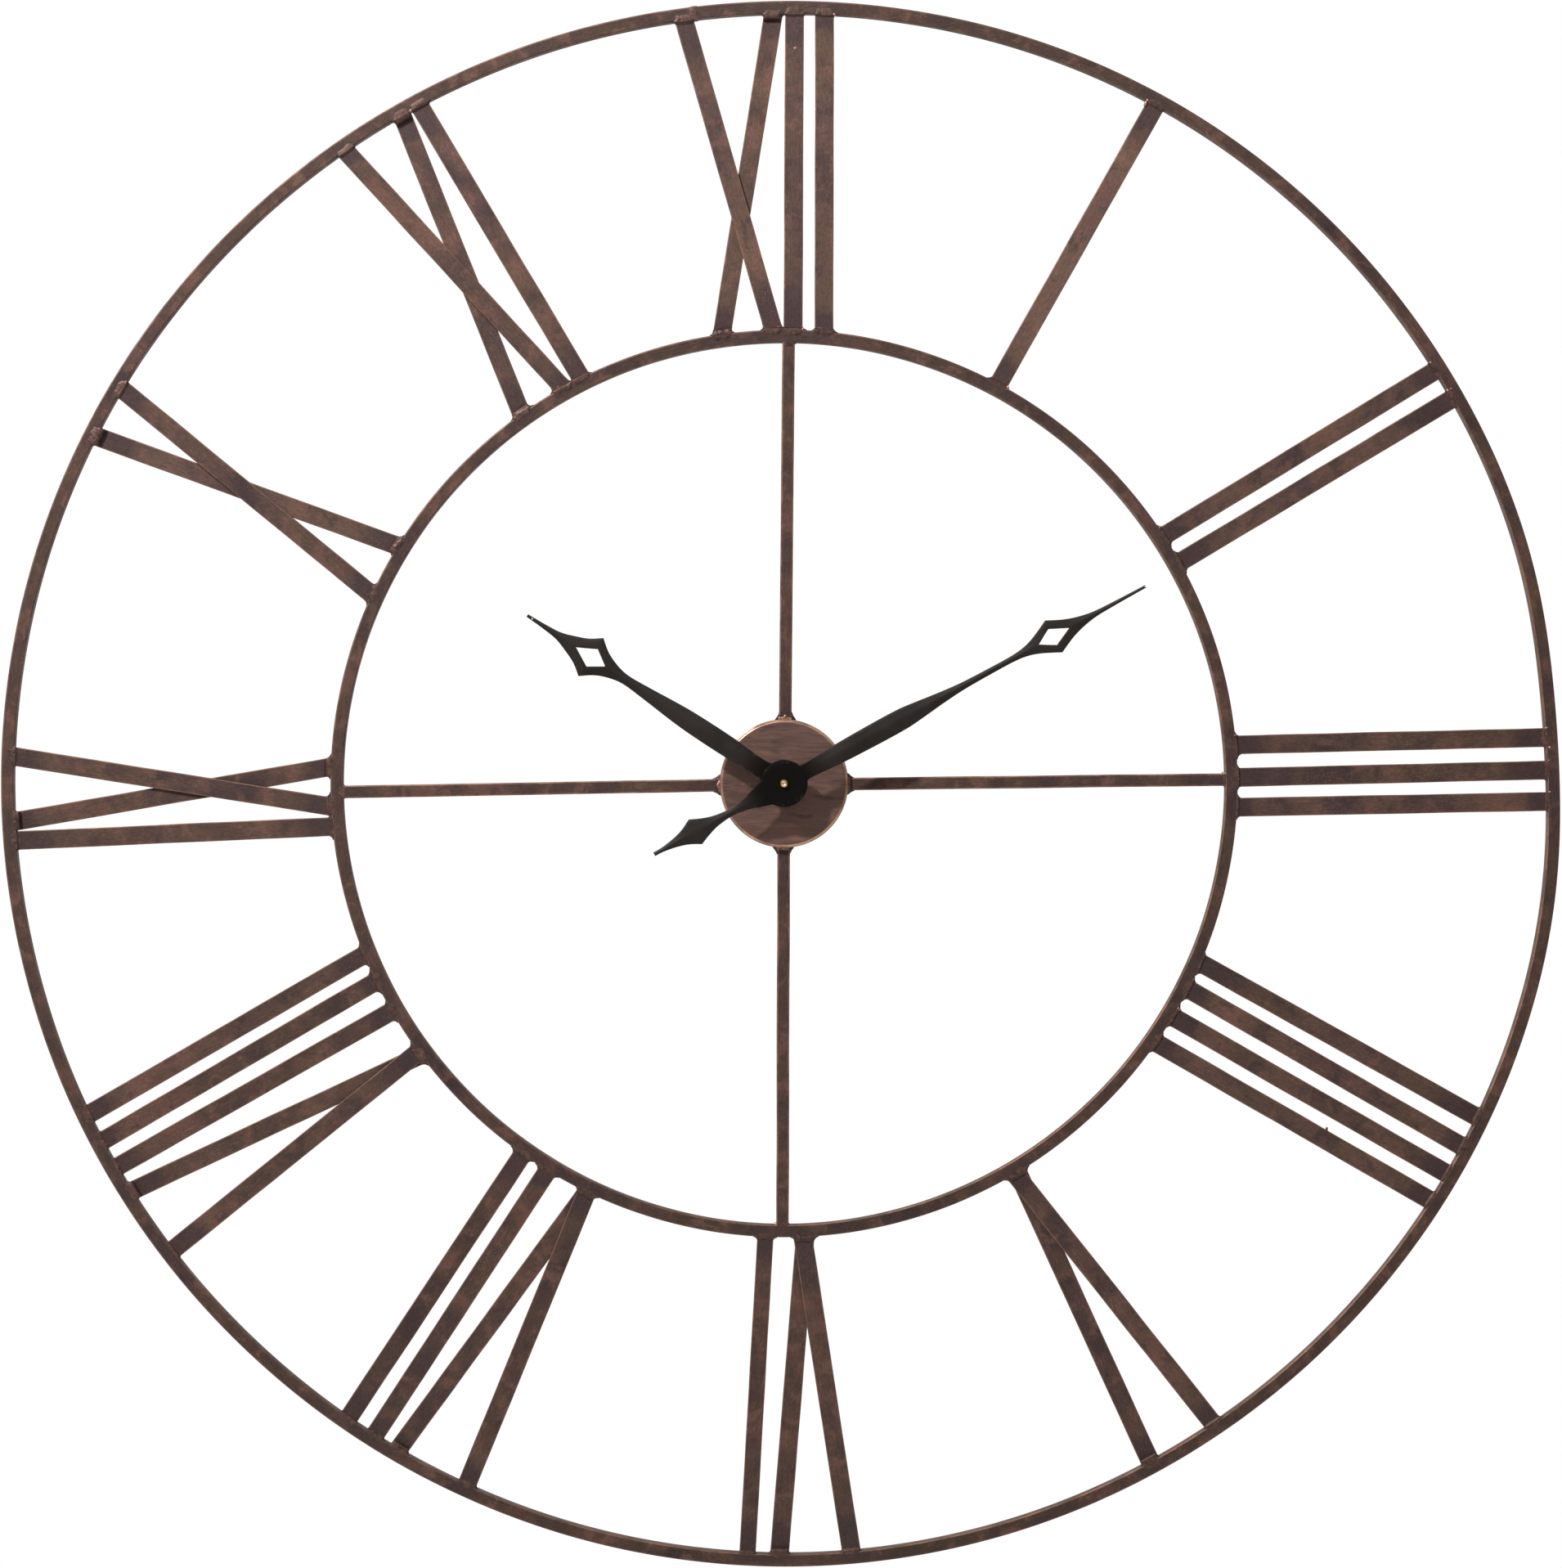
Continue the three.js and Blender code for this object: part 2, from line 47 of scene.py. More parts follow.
# the dial's middle comes from the hub, and depths are distances out from the wall, towards -Y
hubLow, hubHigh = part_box("hub_cup")
dialCentre = (hubLow + hubHigh) / 2
ringFront = -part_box("outer_ring")[0].y
ringBack = -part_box("outer_ring")[1].y
toViewer = Vector((0, -1, 0))
print("frame loaded:", len(cad), "nodes")


def addToScene(name, data):
    made = bpy.data.objects.new(name, data)
    bpy.context.scene.collection.objects.link(made)
    return made


def srgb(red, green, blue):
    def linear(value):
        value /= 255
        return value / 12.92 if value <= 0.04045 else ((value + 0.055) / 1.055) ** 2.4
    return (linear(red), linear(green), linear(blue), 1)


def addNode(tree, kind, inputs=None, **settings):
    # an input is either a plain value or the socket that feeds it
    made = tree.nodes.new(kind)
    for name, value in settings.items():
        setattr(made, name, value)
    for name, value in (inputs or {}).items():
        if isinstance(value, bpy.types.NodeSocket):
            tree.links.new(value, made.inputs[name])
        else:
            made.inputs[name].default_value = value
    return made


def span(tree, value, low, high, toLow=0.0, toHigh=1.0, smooth=True):
    kind = "SMOOTHSTEP" if smooth else "LINEAR"
    inputs = {"Value": value, "From Min": low, "From Max": high, "To Min": toLow, "To Max": toHigh}
    return addNode(tree, "ShaderNodeMapRange", inputs, interpolation_type=kind).outputs["Result"]


def reckon(tree, operation, first, second):
    return addNode(tree, "ShaderNodeMath", {0: first, 1: second}, operation=operation).outputs[0]


def times(tree, first, second):
    return reckon(tree, "MULTIPLY", first, second)


shot = {
    "distance": 3.1,  # from the front of the rings
    "frameWidth": 1.2425,  # width taken in at the rings
    "right": -2.4 * mm,  # of the dial's middle, so this is a little to its left
    "up": -0.4 * mm,  # and a little below it
    "sensor": 36,
}

studio = {
    "keyFrom": (-0.45, -0.66, 0.60),
    "keyDistance": 4.8,
    "keySize": 0.28,
    "keyPower": 240,
    "keyColour": (1.0, 0.975, 0.94),
    "topBox": (0.12, -1.1, 1.3),  # soft box over the clock
    "topSize": (1.5, 0.6),
    "topPower": 6,
    "shadeSide": 0.16,  # how bright the room is away from the key
    "lightSide": 0.42,
    "behind": 0.85,  # the white wall side, which lights the clock's back
    "behindEdge": (0.05, 0.6),
    "wallColour": (1, 0.99, 0.98, 1),
    "backdrop": (1, 1, 1, 1),
    "floorDrop": 1.42,  # below the dial's middle
    "floorReach": 2.8,  # much further and it would show under the clock
    "floorSteps": 24,
}


def setCamera():
    data = bpy.data.cameras.new("shot")
    data.sensor_fit = "HORIZONTAL"
    data.sensor_width = shot["sensor"]
    data.lens = shot["sensor"] * shot["distance"] / shot["frameWidth"]
    camera = addToScene("shot", data)
    away = ringFront + shot["distance"]
    camera.location = (dialCentre.x + shot["right"], -away, dialCentre.z + shot["up"])
    camera.rotation_euler = (math.radians(90), 0, 0)
    bpy.context.scene.camera = camera


def addLamp(name, shape, size, power, offset):
    # an area lamp that looks at the dial's middle
    data = bpy.data.lights.new(name, "AREA")
    data.shape = shape
    data.size, data.size_y = size
    data.energy = power
    lamp = addToScene(name, data)
    lamp.location = dialCentre + offset
    lamp.rotation_euler = offset.to_track_quat("Z", "Y").to_euler()
    return lamp


def setLights():
    offset = Vector(studio["keyFrom"]).normalized() * studio["keyDistance"]
    key = addLamp("key", "DISK", [studio["keySize"]] * 2, studio["keyPower"], offset)
    key.data.color = studio["keyColour"]
    addLamp("topBox", "RECTANGLE", studio["topSize"], studio["topPower"], Vector(studio["topBox"]))


def setRoom():
    # the room glows on the key's side and behind the clock, and the backdrop is white
    world = bpy.data.worlds.new("room")
    bpy.context.scene.world = world
    world.use_nodes = True
    tree = world.node_tree
    tree.nodes.clear()
    way = addNode(tree, "ShaderNodeTexCoord").outputs["Generated"]
    keyWay = Vector(studio["keyFrom"]).normalized()
    facing = addNode(tree, "ShaderNodeVectorMath", {0: way, 1: keyWay}, operation="DOT_PRODUCT")
    glow = span(tree, facing.outputs["Value"], -1, 1, studio["shadeSide"], studio["lightSide"], smooth=False)
    behind = addNode(tree, "ShaderNodeSeparateXYZ", {0: way}).outputs["Y"]
    backGlow = span(tree, behind, *studio["behindEdge"], 0, studio["behind"])
    strength = reckon(tree, "MAXIMUM", glow, backGlow)
    walls = addNode(tree, "ShaderNodeBackground", {"Color": studio["wallColour"], "Strength": strength})
    backdrop = addNode(tree, "ShaderNodeBackground", {"Color": studio["backdrop"]})
    direct = addNode(tree, "ShaderNodeLightPath").outputs["Is Camera Ray"]
    pick = addNode(tree, "ShaderNodeMixShader", {0: direct, 1: walls.outputs[0], 2: backdrop.outputs[0]})
    addNode(tree, "ShaderNodeOutputWorld", {0: pick.outputs[0]})
    bpy.context.scene.view_settings.view_transform = "Standard"


setCamera()
setLights()
setRoom()
print("camera and studio set")


def startFinish(name, **sockets):
    material = bpy.data.materials.new(name)
    material.use_nodes = True
    tree = material.node_tree
    tree.nodes.clear()
    shader = addNode(tree, "ShaderNodeBsdfPrincipled", sockets)
    addNode(tree, "ShaderNodeOutputMaterial", {0: shader.outputs[0]})
    return material, tree, shader


def placeOn(tree, scale=(1, 1, 1), turn=(0, 0, 0)):
    place = addNode(tree, "ShaderNodeTexCoord").outputs["Object"]
    inputs = {"Vector": place, "Scale": scale, "Rotation": turn}
    return addNode(tree, "ShaderNodeMapping", inputs).outputs[0]


def alongBar(tree, lengthwise, crosswise):
    # the pieces' own map runs along the bar in metres, then round its section
    place = addNode(tree, "ShaderNodeUVMap", uv_map="barRun").outputs[0]
    inputs = {"Vector": place, "Scale": (lengthwise, crosswise, 1)}
    return addNode(tree, "ShaderNodeMapping", inputs).outputs[0]


def cloud(tree, vector, scale, detail=4, rough=0.5, swirl=0.0):
    inputs = {"Vector": vector, "Scale": scale, "Detail": detail, "Roughness": rough, "Distortion": swirl}
    return addNode(tree, "ShaderNodeTexNoise", inputs).outputs["Fac"]


def shade(tree, base, value):
    # darkens below 1, lightens above
    grey = addNode(tree, "ShaderNodeCombineColor", {"Red": value, "Green": value, "Blue": value}).outputs[0]
    return over(tree, 1.0, base, grey, "MULTIPLY")


def attribute(tree, name):
    return addNode(tree, "ShaderNodeAttribute", attribute_name=name).outputs["Fac"]


def over(tree, factor, below, above, blend="MIX"):
    inputs = {0: factor, 6: below, 7: above}
    return addNode(tree, "ShaderNodeMix", inputs, data_type="RGBA", blend_type=blend).outputs[2]


def ramp(tree, value, stops):
    made = addNode(tree, "ShaderNodeValToRGB", {"Fac": value})
    elements = made.color_ramp.elements
    while len(elements) < len(stops):
        elements.new(0.5)
    for element, (at, colour) in zip(elements, stops):
        element.position = at
        element.color = colour
    return made.outputs["Color"]


def bumped(tree, shader, height, strength, distance, under=None):
    inputs = {"Height": height, "Strength": strength, "Distance": distance}
    if under is not None:
        inputs["Normal"] = under
    made = addNode(tree, "ShaderNodeBump", inputs)
    tree.links.new(made.outputs[0], shader.inputs["Normal"])
    return made.outputs[0]


bronze = {
    "dusk": srgb(60, 46, 47),
    "umber": srgb(82, 61, 56),
    "olive": srgb(82, 63, 53),
    "russet": srgb(102, 73, 64),
    "rose": srgb(128, 98, 86),
    "copper": srgb(176, 134, 108),
    # painted shade in the weld toes and the hub seam, and the dark of the pinholes
    "soot": srgb(22, 17, 16),
    "brightDrop": srgb(190, 146, 122),
    "speckle": 900,  # coppery granules to the metre
    "metal": 0.62,
}


def bronzeColour(tree, heat, wear, speckles):
    here = placeOn(tree)
    wide = cloud(tree, here, 17, 3, 0.55, 0.6)
    base = ramp(tree, wide, [
        (0.28, bronze["dusk"]),
        (0.43, bronze["umber"]),
        (0.53, bronze["olive"]),
        (0.66, bronze["russet"]),
    ])
    base = shade(tree, base, attribute(tree, "tone"))
    # cloudy patches a thumb wide, warmer and cooler
    patch = cloud(tree, placeOn(tree, turn=(0.4, 0.2, 0.9)), 62, 4, 0.6, 0.4)
    base = over(tree, span(tree, patch, 0.50, 0.66, 0, 0.7), base, bronze["russet"])
    base = over(tree, span(tree, patch, 0.48, 0.34, 0, 0.65), base, bronze["dusk"])
    # rolled grain runs lengthwise
    grain = cloud(tree, alongBar(tree, 42, 1500), 1, 4, 0.7)
    base = shade(tree, base, span(tree, grain, 0.34, 0.68, 0.86, 1.16))
    # welding heat has left the bar's end purple-brown, then a straw-green band, then its own colour
    patchy = span(tree, cloud(tree, here, 45, 3, 0.6), 0.25, 0.75, 0.7, 1.4)
    near = times(tree, attribute(tree, "weldAway"), patchy)
    straw = times(tree, span(tree, near, 0.8, 1.05), span(tree, near, 1.7, 1.1))
    base = over(tree, times(tree, straw, 0.6 * heat), base, bronze["olive"])
    base = over(tree, span(tree, near, 1.30, 0.50, 0, heat), base, bronze["dusk"])
    # coppery granules rubbed up on the patches that stand proud
    grit = cloud(tree, here, bronze["speckle"], 2, 0.7)
    where = cloud(tree, placeOn(tree, turn=(0, 0.7, 0)), 11, 3, 0.6)
    proud = span(tree, where, 0.49, 0.68, 0.04, 0.62 * speckles)
    base = over(tree, times(tree, span(tree, grit, 0.54, 0.70), proud), base, bronze["rose"])
    # worn arrises, broken along their run
    rubbed = cloud(tree, alongBar(tree, 30, 60), 1, 4, 0.7)
    worn = times(tree, attribute(tree, "arris"), span(tree, rubbed, 0.36, 0.62, 0.15, wear))
    base = over(tree, worn, base, bronze["copper"])
    # fine mottle of the chemical bronzing
    mottle = cloud(tree, alongBar(tree, 260, 560), 1, 5, 0.75)
    base = shade(tree, base, span(tree, mottle, 0.36, 0.66, 0.84, 1.20))
    return base, here, grain


def bronzedIron(name, heat, wear, speckles):
    material, tree, shader = startFinish(name, Metallic=bronze["metal"])
    colour, here, grain = bronzeColour(tree, heat, wear, speckles)
    tree.links.new(colour, shader.inputs["Base Color"])
    sheen = cloud(tree, here, 34, 3, 0.6)
    rough = reckon(tree, "ADD", span(tree, sheen, 0.3, 0.7, 0.46, 0.60), times(tree, grain, 0.10))
    tree.links.new(rough, shader.inputs["Roughness"])
    fine = bumped(tree, shader, grain, 0.35, 0.12 * mm)
    pitted = cloud(tree, here, 420, 3, 0.6)
    bumped(tree, shader, pitted, 0.45, 0.22 * mm, fine)
    return material


def weldIron(name):
    # the same bronze on cast beads: smoother, with painted shade in the toes, dark in the pinholes, a few
    # drops left bright
    material, tree, shader = startFinish(name, Metallic=bronze["metal"])
    here = placeOn(tree)
    lumps = cloud(tree, here, 150, 4, 0.65, 0.8)
    stops = [(0.30, bronze["dusk"]), (0.46, bronze["umber"]), (0.66, bronze["russet"])]
    base = ramp(tree, lumps, stops)
    base = shade(tree, base, attribute(tree, "tone"))
    crest = times(tree, attribute(tree, "crest"), span(tree, cloud(tree, here, 320, 3, 0.6), 0.46, 0.70))
    base = over(tree, times(tree, crest, 0.40), base, bronze["rose"])
    # painted shade in the creases round the beads' toes
    base = over(tree, times(tree, attribute(tree, "toe"), 0.45), base, bronze["soot"])
    bright = attribute(tree, "bright")
    freckled = span(tree, cloud(tree, here, 500, 2, 0.5), 0.35, 0.55, 0.35, 1)
    base = over(tree, times(tree, bright, freckled), base, bronze["brightDrop"])
    base = over(tree, attribute(tree, "pit"), base, bronze["soot"])
    tree.links.new(base, shader.inputs["Base Color"])
    cast = span(tree, lumps, 0.3, 0.7, 0.40, 0.56)
    rough = reckon(tree, "SUBTRACT", cast, times(tree, bright, 0.16))
    tree.links.new(rough, shader.inputs["Roughness"])
    bumped(tree, shader, cloud(tree, here, 420, 4, 0.6, 0.6), 0.4, 0.22 * mm)
    return material


hubBronze = {
    "tilt": 7,  # degrees that the brush strokes rise to the right
    "tones": [
        (0.32, srgb(82, 62, 59)),
        (0.45, srgb(108, 82, 76)),
        (0.55, srgb(105, 81, 72)),
        (0.68, srgb(126, 95, 86)),
    ],
    "patch": srgb(82, 68, 54),
    "rim": srgb(196, 152, 124),
    "metal": 0.68,
}


def bronzedHub(name):
    # brush strokes cross the face, and the rim is rubbed through to copper
    material, tree, shader = startFinish(name, Metallic=hubBronze["metal"])
    tilt = (0, math.radians(hubBronze["tilt"]), 0)
    broad = cloud(tree, placeOn(tree, (18, 1, 62), tilt), 1, 4, 0.6, 0.8)
    streaks = cloud(tree, placeOn(tree, (42, 1, 420), tilt), 1, 4, 0.7, 0.5)
    base = ramp(tree, broad, hubBronze["tones"])
    base = shade(tree, base, span(tree, streaks, 0.34, 0.70, 0.93, 1.09))
    patch = cloud(tree, placeOn(tree), 26, 3, 0.5, 0.5)
    base = over(tree, span(tree, patch, 0.50, 0.36, 0, 0.5), base, hubBronze["patch"])
    rubbed = span(tree, cloud(tree, placeOn(tree), 42, 3, 0.6), 0.34, 0.56, 0.30, 1.0)
    arris = attribute(tree, "arris")
    base = over(tree, times(tree, arris, rubbed), base, hubBronze["rim"])
    # painted shade in the seam's groove between lid and cup
    base = over(tree, attribute(tree, "toe"), base, bronze["soot"])
    tree.links.new(base, shader.inputs["Base Color"])
    brushed = span(tree, streaks, 0.3, 0.7, 0.36, 0.56)
    rough = reckon(tree, "SUBTRACT", brushed, times(tree, arris, 0.20))
    tree.links.new(rough, shader.inputs["Roughness"])
    bumped(tree, shader, streaks, 0.35, 0.08 * mm)
    return material


handPaint = {
    "tones": [(0.3, srgb(22, 17, 14)), (0.7, srgb(32, 26, 22))],
    "boss": srgb(6, 5, 5),  # painted shade round the boss, darker and duller than the blades
    "worn": srgb(110, 98, 90),
}


def blackPaint(name):
    material, tree, shader = startFinish(name, Metallic=0.0)
    here = placeOn(tree)
    mist = cloud(tree, here, 30, 4, 0.6)
    # painted shade: the paint is darker round the boss
    handled = attribute(tree, "handled")
    base = over(tree, times(tree, handled, 0.85), ramp(tree, mist, handPaint["tones"]), handPaint["boss"])
    rubbed = span(tree, cloud(tree, here, 240, 3, 0.6), 0.50, 0.7, 0, 0.22)
    base = over(tree, times(tree, attribute(tree, "arris"), rubbed), base, handPaint["worn"])
    tree.links.new(base, shader.inputs["Base Color"])
    tree.links.new(span(tree, handled, 0, 1, 0.24, 0.08), shader.inputs["Specular IOR Level"])
    tree.links.new(span(tree, mist, 0.3, 0.7, 0.42, 0.55), shader.inputs["Roughness"])
    bumped(tree, shader, cloud(tree, here, 900, 2, 0.5), 0.18, 0.05 * mm)
    return material


def turnedBrass(name):
    material, tree, shader = startFinish(name, Metallic=1.0)
    here = placeOn(tree)
    tarnish = cloud(tree, here, 300, 3, 0.6)
    base = ramp(tree, tarnish, [(0.35, srgb(208, 172, 118)), (0.62, srgb(242, 216, 168))])
    tree.links.new(base, shader.inputs["Base Color"])
    tree.links.new(span(tree, tarnish, 0.3, 0.7, 0.34, 0.16), shader.inputs["Roughness"])
    bumped(tree, shader, cloud(tree, here, 2400, 2, 0.5), 0.12, 0.03 * mm)
    return material


def brightSteel(name, dark, light):
    material, tree, shader = startFinish(name, Metallic=1.0)
    here = placeOn(tree, (1, 1, 9))
    lines = cloud(tree, here, 260, 4, 0.7)
    dull = cloud(tree, placeOn(tree), 70, 3, 0.6)
    base = ramp(tree, dull, [(0.3, dark), (0.7, light)])
    tree.links.new(base, shader.inputs["Base Color"])
    tree.links.new(span(tree, lines, 0.3, 0.7, 0.26, 0.46), shader.inputs["Roughness"])
    bumped(tree, shader, lines, 0.2, 0.05 * mm)
    return material


def mouldedPlastic(name, dark, light, roughLow, roughHigh, grainScale):
    material, tree, shader = startFinish(name, Metallic=0.0)
    here = placeOn(tree)
    flow = cloud(tree, here, 24, 3, 0.5, 0.8)
    tree.links.new(ramp(tree, flow, [(0.3, dark), (0.7, light)]), shader.inputs["Base Color"])
    grain = cloud(tree, here, grainScale, 3, 0.6)
    tree.links.new(span(tree, grain, 0.3, 0.7, roughLow, roughHigh), shader.inputs["Roughness"])
    bumped(tree, shader, grain, 0.4, 0.06 * mm)
    return material


def woundCopper(name):
    material, tree, shader = startFinish(name, Metallic=0.85)
    inputs = {"Vector": placeOn(tree), "Scale": 620, "Distortion": 0.6, "Detail": 1}
    turns = addNode(tree, "ShaderNodeTexWave", inputs, bands_direction="Z").outputs["Fac"]
    base = ramp(tree, turns, [(0.1, srgb(96, 44, 22)), (0.7, srgb(196, 108, 62))])
    tree.links.new(base, shader.inputs["Base Color"])
    tree.links.new(span(tree, turns, 0, 1, 0.5, 0.28), shader.inputs["Roughness"])
    bumped(tree, shader, turns, 0.6, 0.12 * mm)
    return material


jacket = {
    "bandStart": 15.2 * mm,  # from the plus end
    "bandBlend": 0.4 * mm,
    "endStart": 1.5 * mm,
    "endBlend": 0.3 * mm,
    "sleeve": [(0.3, srgb(36, 44, 54)), (0.7, srgb(52, 62, 74))],
    "band": srgb(186, 140, 84),
    "end": srgb(180, 180, 176),
}


def batteryJacket(name):
    # plain two-tone foil sleeve, with a lighter band at its plus end
    material, tree, shader = startFinish(name, Metallic=0.35)
    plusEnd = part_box("battery_cell")[1].x
    place = addNode(tree, "ShaderNodeTexCoord").outputs["Object"]
    across = addNode(tree, "ShaderNodeSeparateXYZ", {0: place}).outputs["X"]
    wrinkle = cloud(tree, place, 140, 3, 0.6)
    base = ramp(tree, wrinkle, jacket["sleeve"])
    for part in ("band", "end"):
        start = plusEnd - jacket[part + "Start"]
        base = over(tree, span(tree, across, start, start + jacket[part + "Blend"]), base, jacket[part])
    tree.links.new(base, shader.inputs["Base Color"])
    tree.links.new(span(tree, wrinkle, 0.3, 0.7, 0.30, 0.44), shader.inputs["Roughness"])
    bumped(tree, shader, wrinkle, 0.15, 0.1 * mm)
    return material


finish = {
    "bar": bronzedIron("bronzedBar", heat=0.85, wear=0.55, speckles=1.0),
    "ring": bronzedIron("bronzedRing", heat=0.5, wear=0.45, speckles=0.6),
    "spoke": bronzedIron("bronzedSpoke", heat=0.5, wear=0.7, speckles=0.7),
    "weld": weldIron("weldIron"),
    "hub": bronzedHub("bronzedHub"),
    "hand": blackPaint("handBlack"),
    "brass": turnedBrass("turnedBrass"),
    "steel": brightSteel("brightSteel", srgb(132, 130, 126), srgb(178, 177, 172)),
    "dullSteel": brightSteel("dullSteel", srgb(78, 74, 70), srgb(118, 113, 107)),
    "blackPlastic": mouldedPlastic("blackPlastic", srgb(24, 24, 25), srgb(36, 36, 37), 0.42, 0.60, 1400),
    "palePlastic": mouldedPlastic("palePlastic", srgb(214, 209, 196), srgb(232, 228, 217), 0.36, 0.50, 900),
    "rubber": mouldedPlastic("rubber", srgb(22, 22, 22), srgb(34, 33, 32), 0.74, 0.92, 700),
    "copper": woundCopper("woundCopper"),
    "battery": batteryJacket("batteryJacket"),
}
print("finishes made:", len(finish))


def onDial(angle, radius, depth):
    # a point at degrees clockwise from twelve
    turn = math.radians(angle)
    return Vector((dialCentre.x + radius * math.sin(turn), -depth, dialCentre.z + radius * math.cos(turn)))


def dialAngle(point):
    return math.degrees(math.atan2(point.x - dialCentre.x, point.z - dialCentre.z)) % 360


def dialRadius(point):
    return math.hypot(point.x - dialCentre.x, point.z - dialCentre.z)


def shake(value, seed, size=1.0):
    # smooth wander between -size and size
    return size * noise.noise(Vector((value, seed * 7.31, seed * 3.17)))


def addPiece(name, mesh, material, body, stands=(), smoothAngle=40):
    # stands names the nodes that the piece takes the place of
    piece = addToScene(name, mesh)
    mesh.materials.append(material)
    mesh.shade_smooth()
    if smoothAngle:
        mesh.set_sharp_from_angle(angle=math.radians(smoothAngle))
    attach(piece, body)
    if stands:
        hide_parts(*stands)
    return piece


def clamp(value):
    return max(0, min(1, value))


def breakEdges(piece, name, width, angle):
    worn = piece.modifiers.new(name, "BEVEL")
    worn.width = width
    worn.segments = 2
    worn.limit_method = "ANGLE"
    worn.angle_limit = math.radians(angle)
    return worn


def roundedSection(halfAcross, halfDeep, corner, faceSteps=4, cornerSteps=3):
    # points round a bar's section as (across, out, arris), clockwise from its front right corner
    signs = [(1, 1), (1, -1), (-1, -1), (-1, 1)]
    middles = [(a * (halfAcross - corner), o * (halfDeep - corner)) for a, o in signs]
    rounds = []
    for quarter, (across, out) in enumerate(middles):
        arc = []
        for step in range(cornerSteps + 1):
            turn = math.radians(90 * (1 - quarter) - 90 * step / cornerSteps)
            worn = 1 - abs(step / cornerSteps - 0.5)
            arc.append((across + corner * math.cos(turn), out + corner * math.sin(turn), worn))
        rounds.append(arc)
    points = []
    for quarter, arc in enumerate(rounds):
        points += arc
        start = Vector(arc[-1][:2])
        end = Vector(rounds[(quarter + 1) % 4][0][:2])
        for step in range(faceSteps):
            share = 0.5 - 0.5 * math.cos(math.pi * (step + 0.5) / faceSteps)
            points.append((*start.lerp(end, share), 0.0))
    return points


def sweepBar(stations, section, closed=False):
    # stations are (middle, across, out, run); section is what roundedSection gives
    bm = bmesh.new()
    arris = bm.verts.layers.float.new("arris")
    run = bm.loops.layers.uv.new("barRun")
    rows = []
    for middle, across, out, _ in stations:
        row = []
        for a, o, worn in section:
            vert = bm.verts.new(middle + across * a + out * o)
            vert[arris] = worn
            row.append(vert)
        rows.append(row)
    girth = [0.0]
    for (a, o, _), (b, p, _) in zip(section, section[1:] + section[:1]):
        girth.append(girth[-1] + math.hypot(b - a, p - o))
    runs = [station[3] for station in stations]
    runs.append(2 * runs[-1] - runs[-2])  # where a closed bar's last stretch ends
    count = len(rows)
    for i in range(count if closed else count - 1):
        row, nextRow = rows[i], rows[(i + 1) % count]
        for k in range(len(section)):
            n = (k + 1) % len(section)
            face = bm.faces.new((row[k], nextRow[k], nextRow[n], row[n]))
            low, high = girth[k], girth[k + 1]
            spots = [(runs[i], low), (runs[i + 1], low), (runs[i + 1], high), (runs[i], high)]
            for loop, spot in zip(face.loops, spots):
                loop[run].uv = spot
    if not closed:
        for row in (rows[0], list(reversed(rows[-1]))):
            cap = bm.faces.new(row)
            for loop in cap.loops:
                loop[run].uv = (loop.vert.co.x, loop.vert.co.z)
    bmesh.ops.recalc_face_normals(bm, faces=bm.faces)
    return bm


def skinRows(bm, rows):
    # faces between rows of equal length that go all the way round
    faces = []
    for first, second in zip(rows, rows[1:]):
        for k in range(len(first)):
            n = (k + 1) % len(first)
            faces.append(bm.faces.new((first[k], first[n], second[n], second[k])))
    return faces


def finishMesh(bm, name):
    mesh = bpy.data.meshes.new(name)
    bm.to_mesh(mesh)
    bm.free()
    return mesh


def barCorners(nodeName):
    # a bar's corners on the dial: its near end and its far end, each from left to right going outwards
    seen = {}
    for vert in cad[nodeName].data.vertices:
        seen[(round(vert.co.x, 5), round(vert.co.z, 5))] = Vector((vert.co.x, 0, vert.co.z))
    corners = sorted(seen.values(), key=dialRadius)
    near, far = corners[:2], corners[-2:]
    outwards = (far[0] + far[1] - near[0] - near[1]).normalized()
    right = Vector((outwards.z, 0, -outwards.x))
    near.sort(key=right.dot)
    far.sort(key=right.dot)
    low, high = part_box(nodeName)
    return {"near": near, "far": far, "front": -low.y, "back": -high.y, "outwards": outwards}


numeralNames = sorted(name for name in cad if name.startswith("numeral_"))
spokeNames = sorted(name for name in cad if name.startswith("spoke_"))
bars = {name: barCorners(name) for name in numeralNames + spokeNames}
weldPlaces = [bar[end] for bar in bars.values() for end in ("near", "far")]


def markPatina(bm, reach, toneAt):
    # weldAway counts how many reaches off the nearest weld is; tone lightens or darkens the bronze, and
    # carries painted light and shade as well
    away = bm.verts.layers.float.new("weldAway")
    tone = bm.verts.layers.float.new("tone")
    for vert in bm.verts:
        flat = Vector((vert.co.x, 0, vert.co.z))
        best = 1.0  # metres
        for left, right in weldPlaces:
            line = right - left
            share = clamp((flat - left).dot(line) / line.length_squared)
            best = min(best, (left + line * share - flat).length)
        vert[away] = best / reach
        vert[tone] = toneAt(vert.co)


ringForge = {
    "steps": 540,
    "corner": 1.0 * mm,
    "ripple": 0.16 * mm,  # hammer waves left by the bending
    "heatReach": 9 * mm,
    "tone": 0.79,
    "darker": 0.18,  # towards the top and the bottom: painted shade, partly patina
    # copper on the inner wall all round: painted reflection, with some wear
    "wallWear": 0.45,
    "wornSide": 120,  # degrees; painted highlight: the inner edge is lightest here, where it faces the key, the outer edge opposite
    "wornLeast": 0.45,
    "wornMore": 0.9,
}


def ringShadeAndTone(point):
    # painted shade, partly patina: darker towards the top and the bottom
    upright = math.cos(math.radians(dialAngle(point))) ** 4
    return ringForge["tone"] - ringForge["darker"] * upright


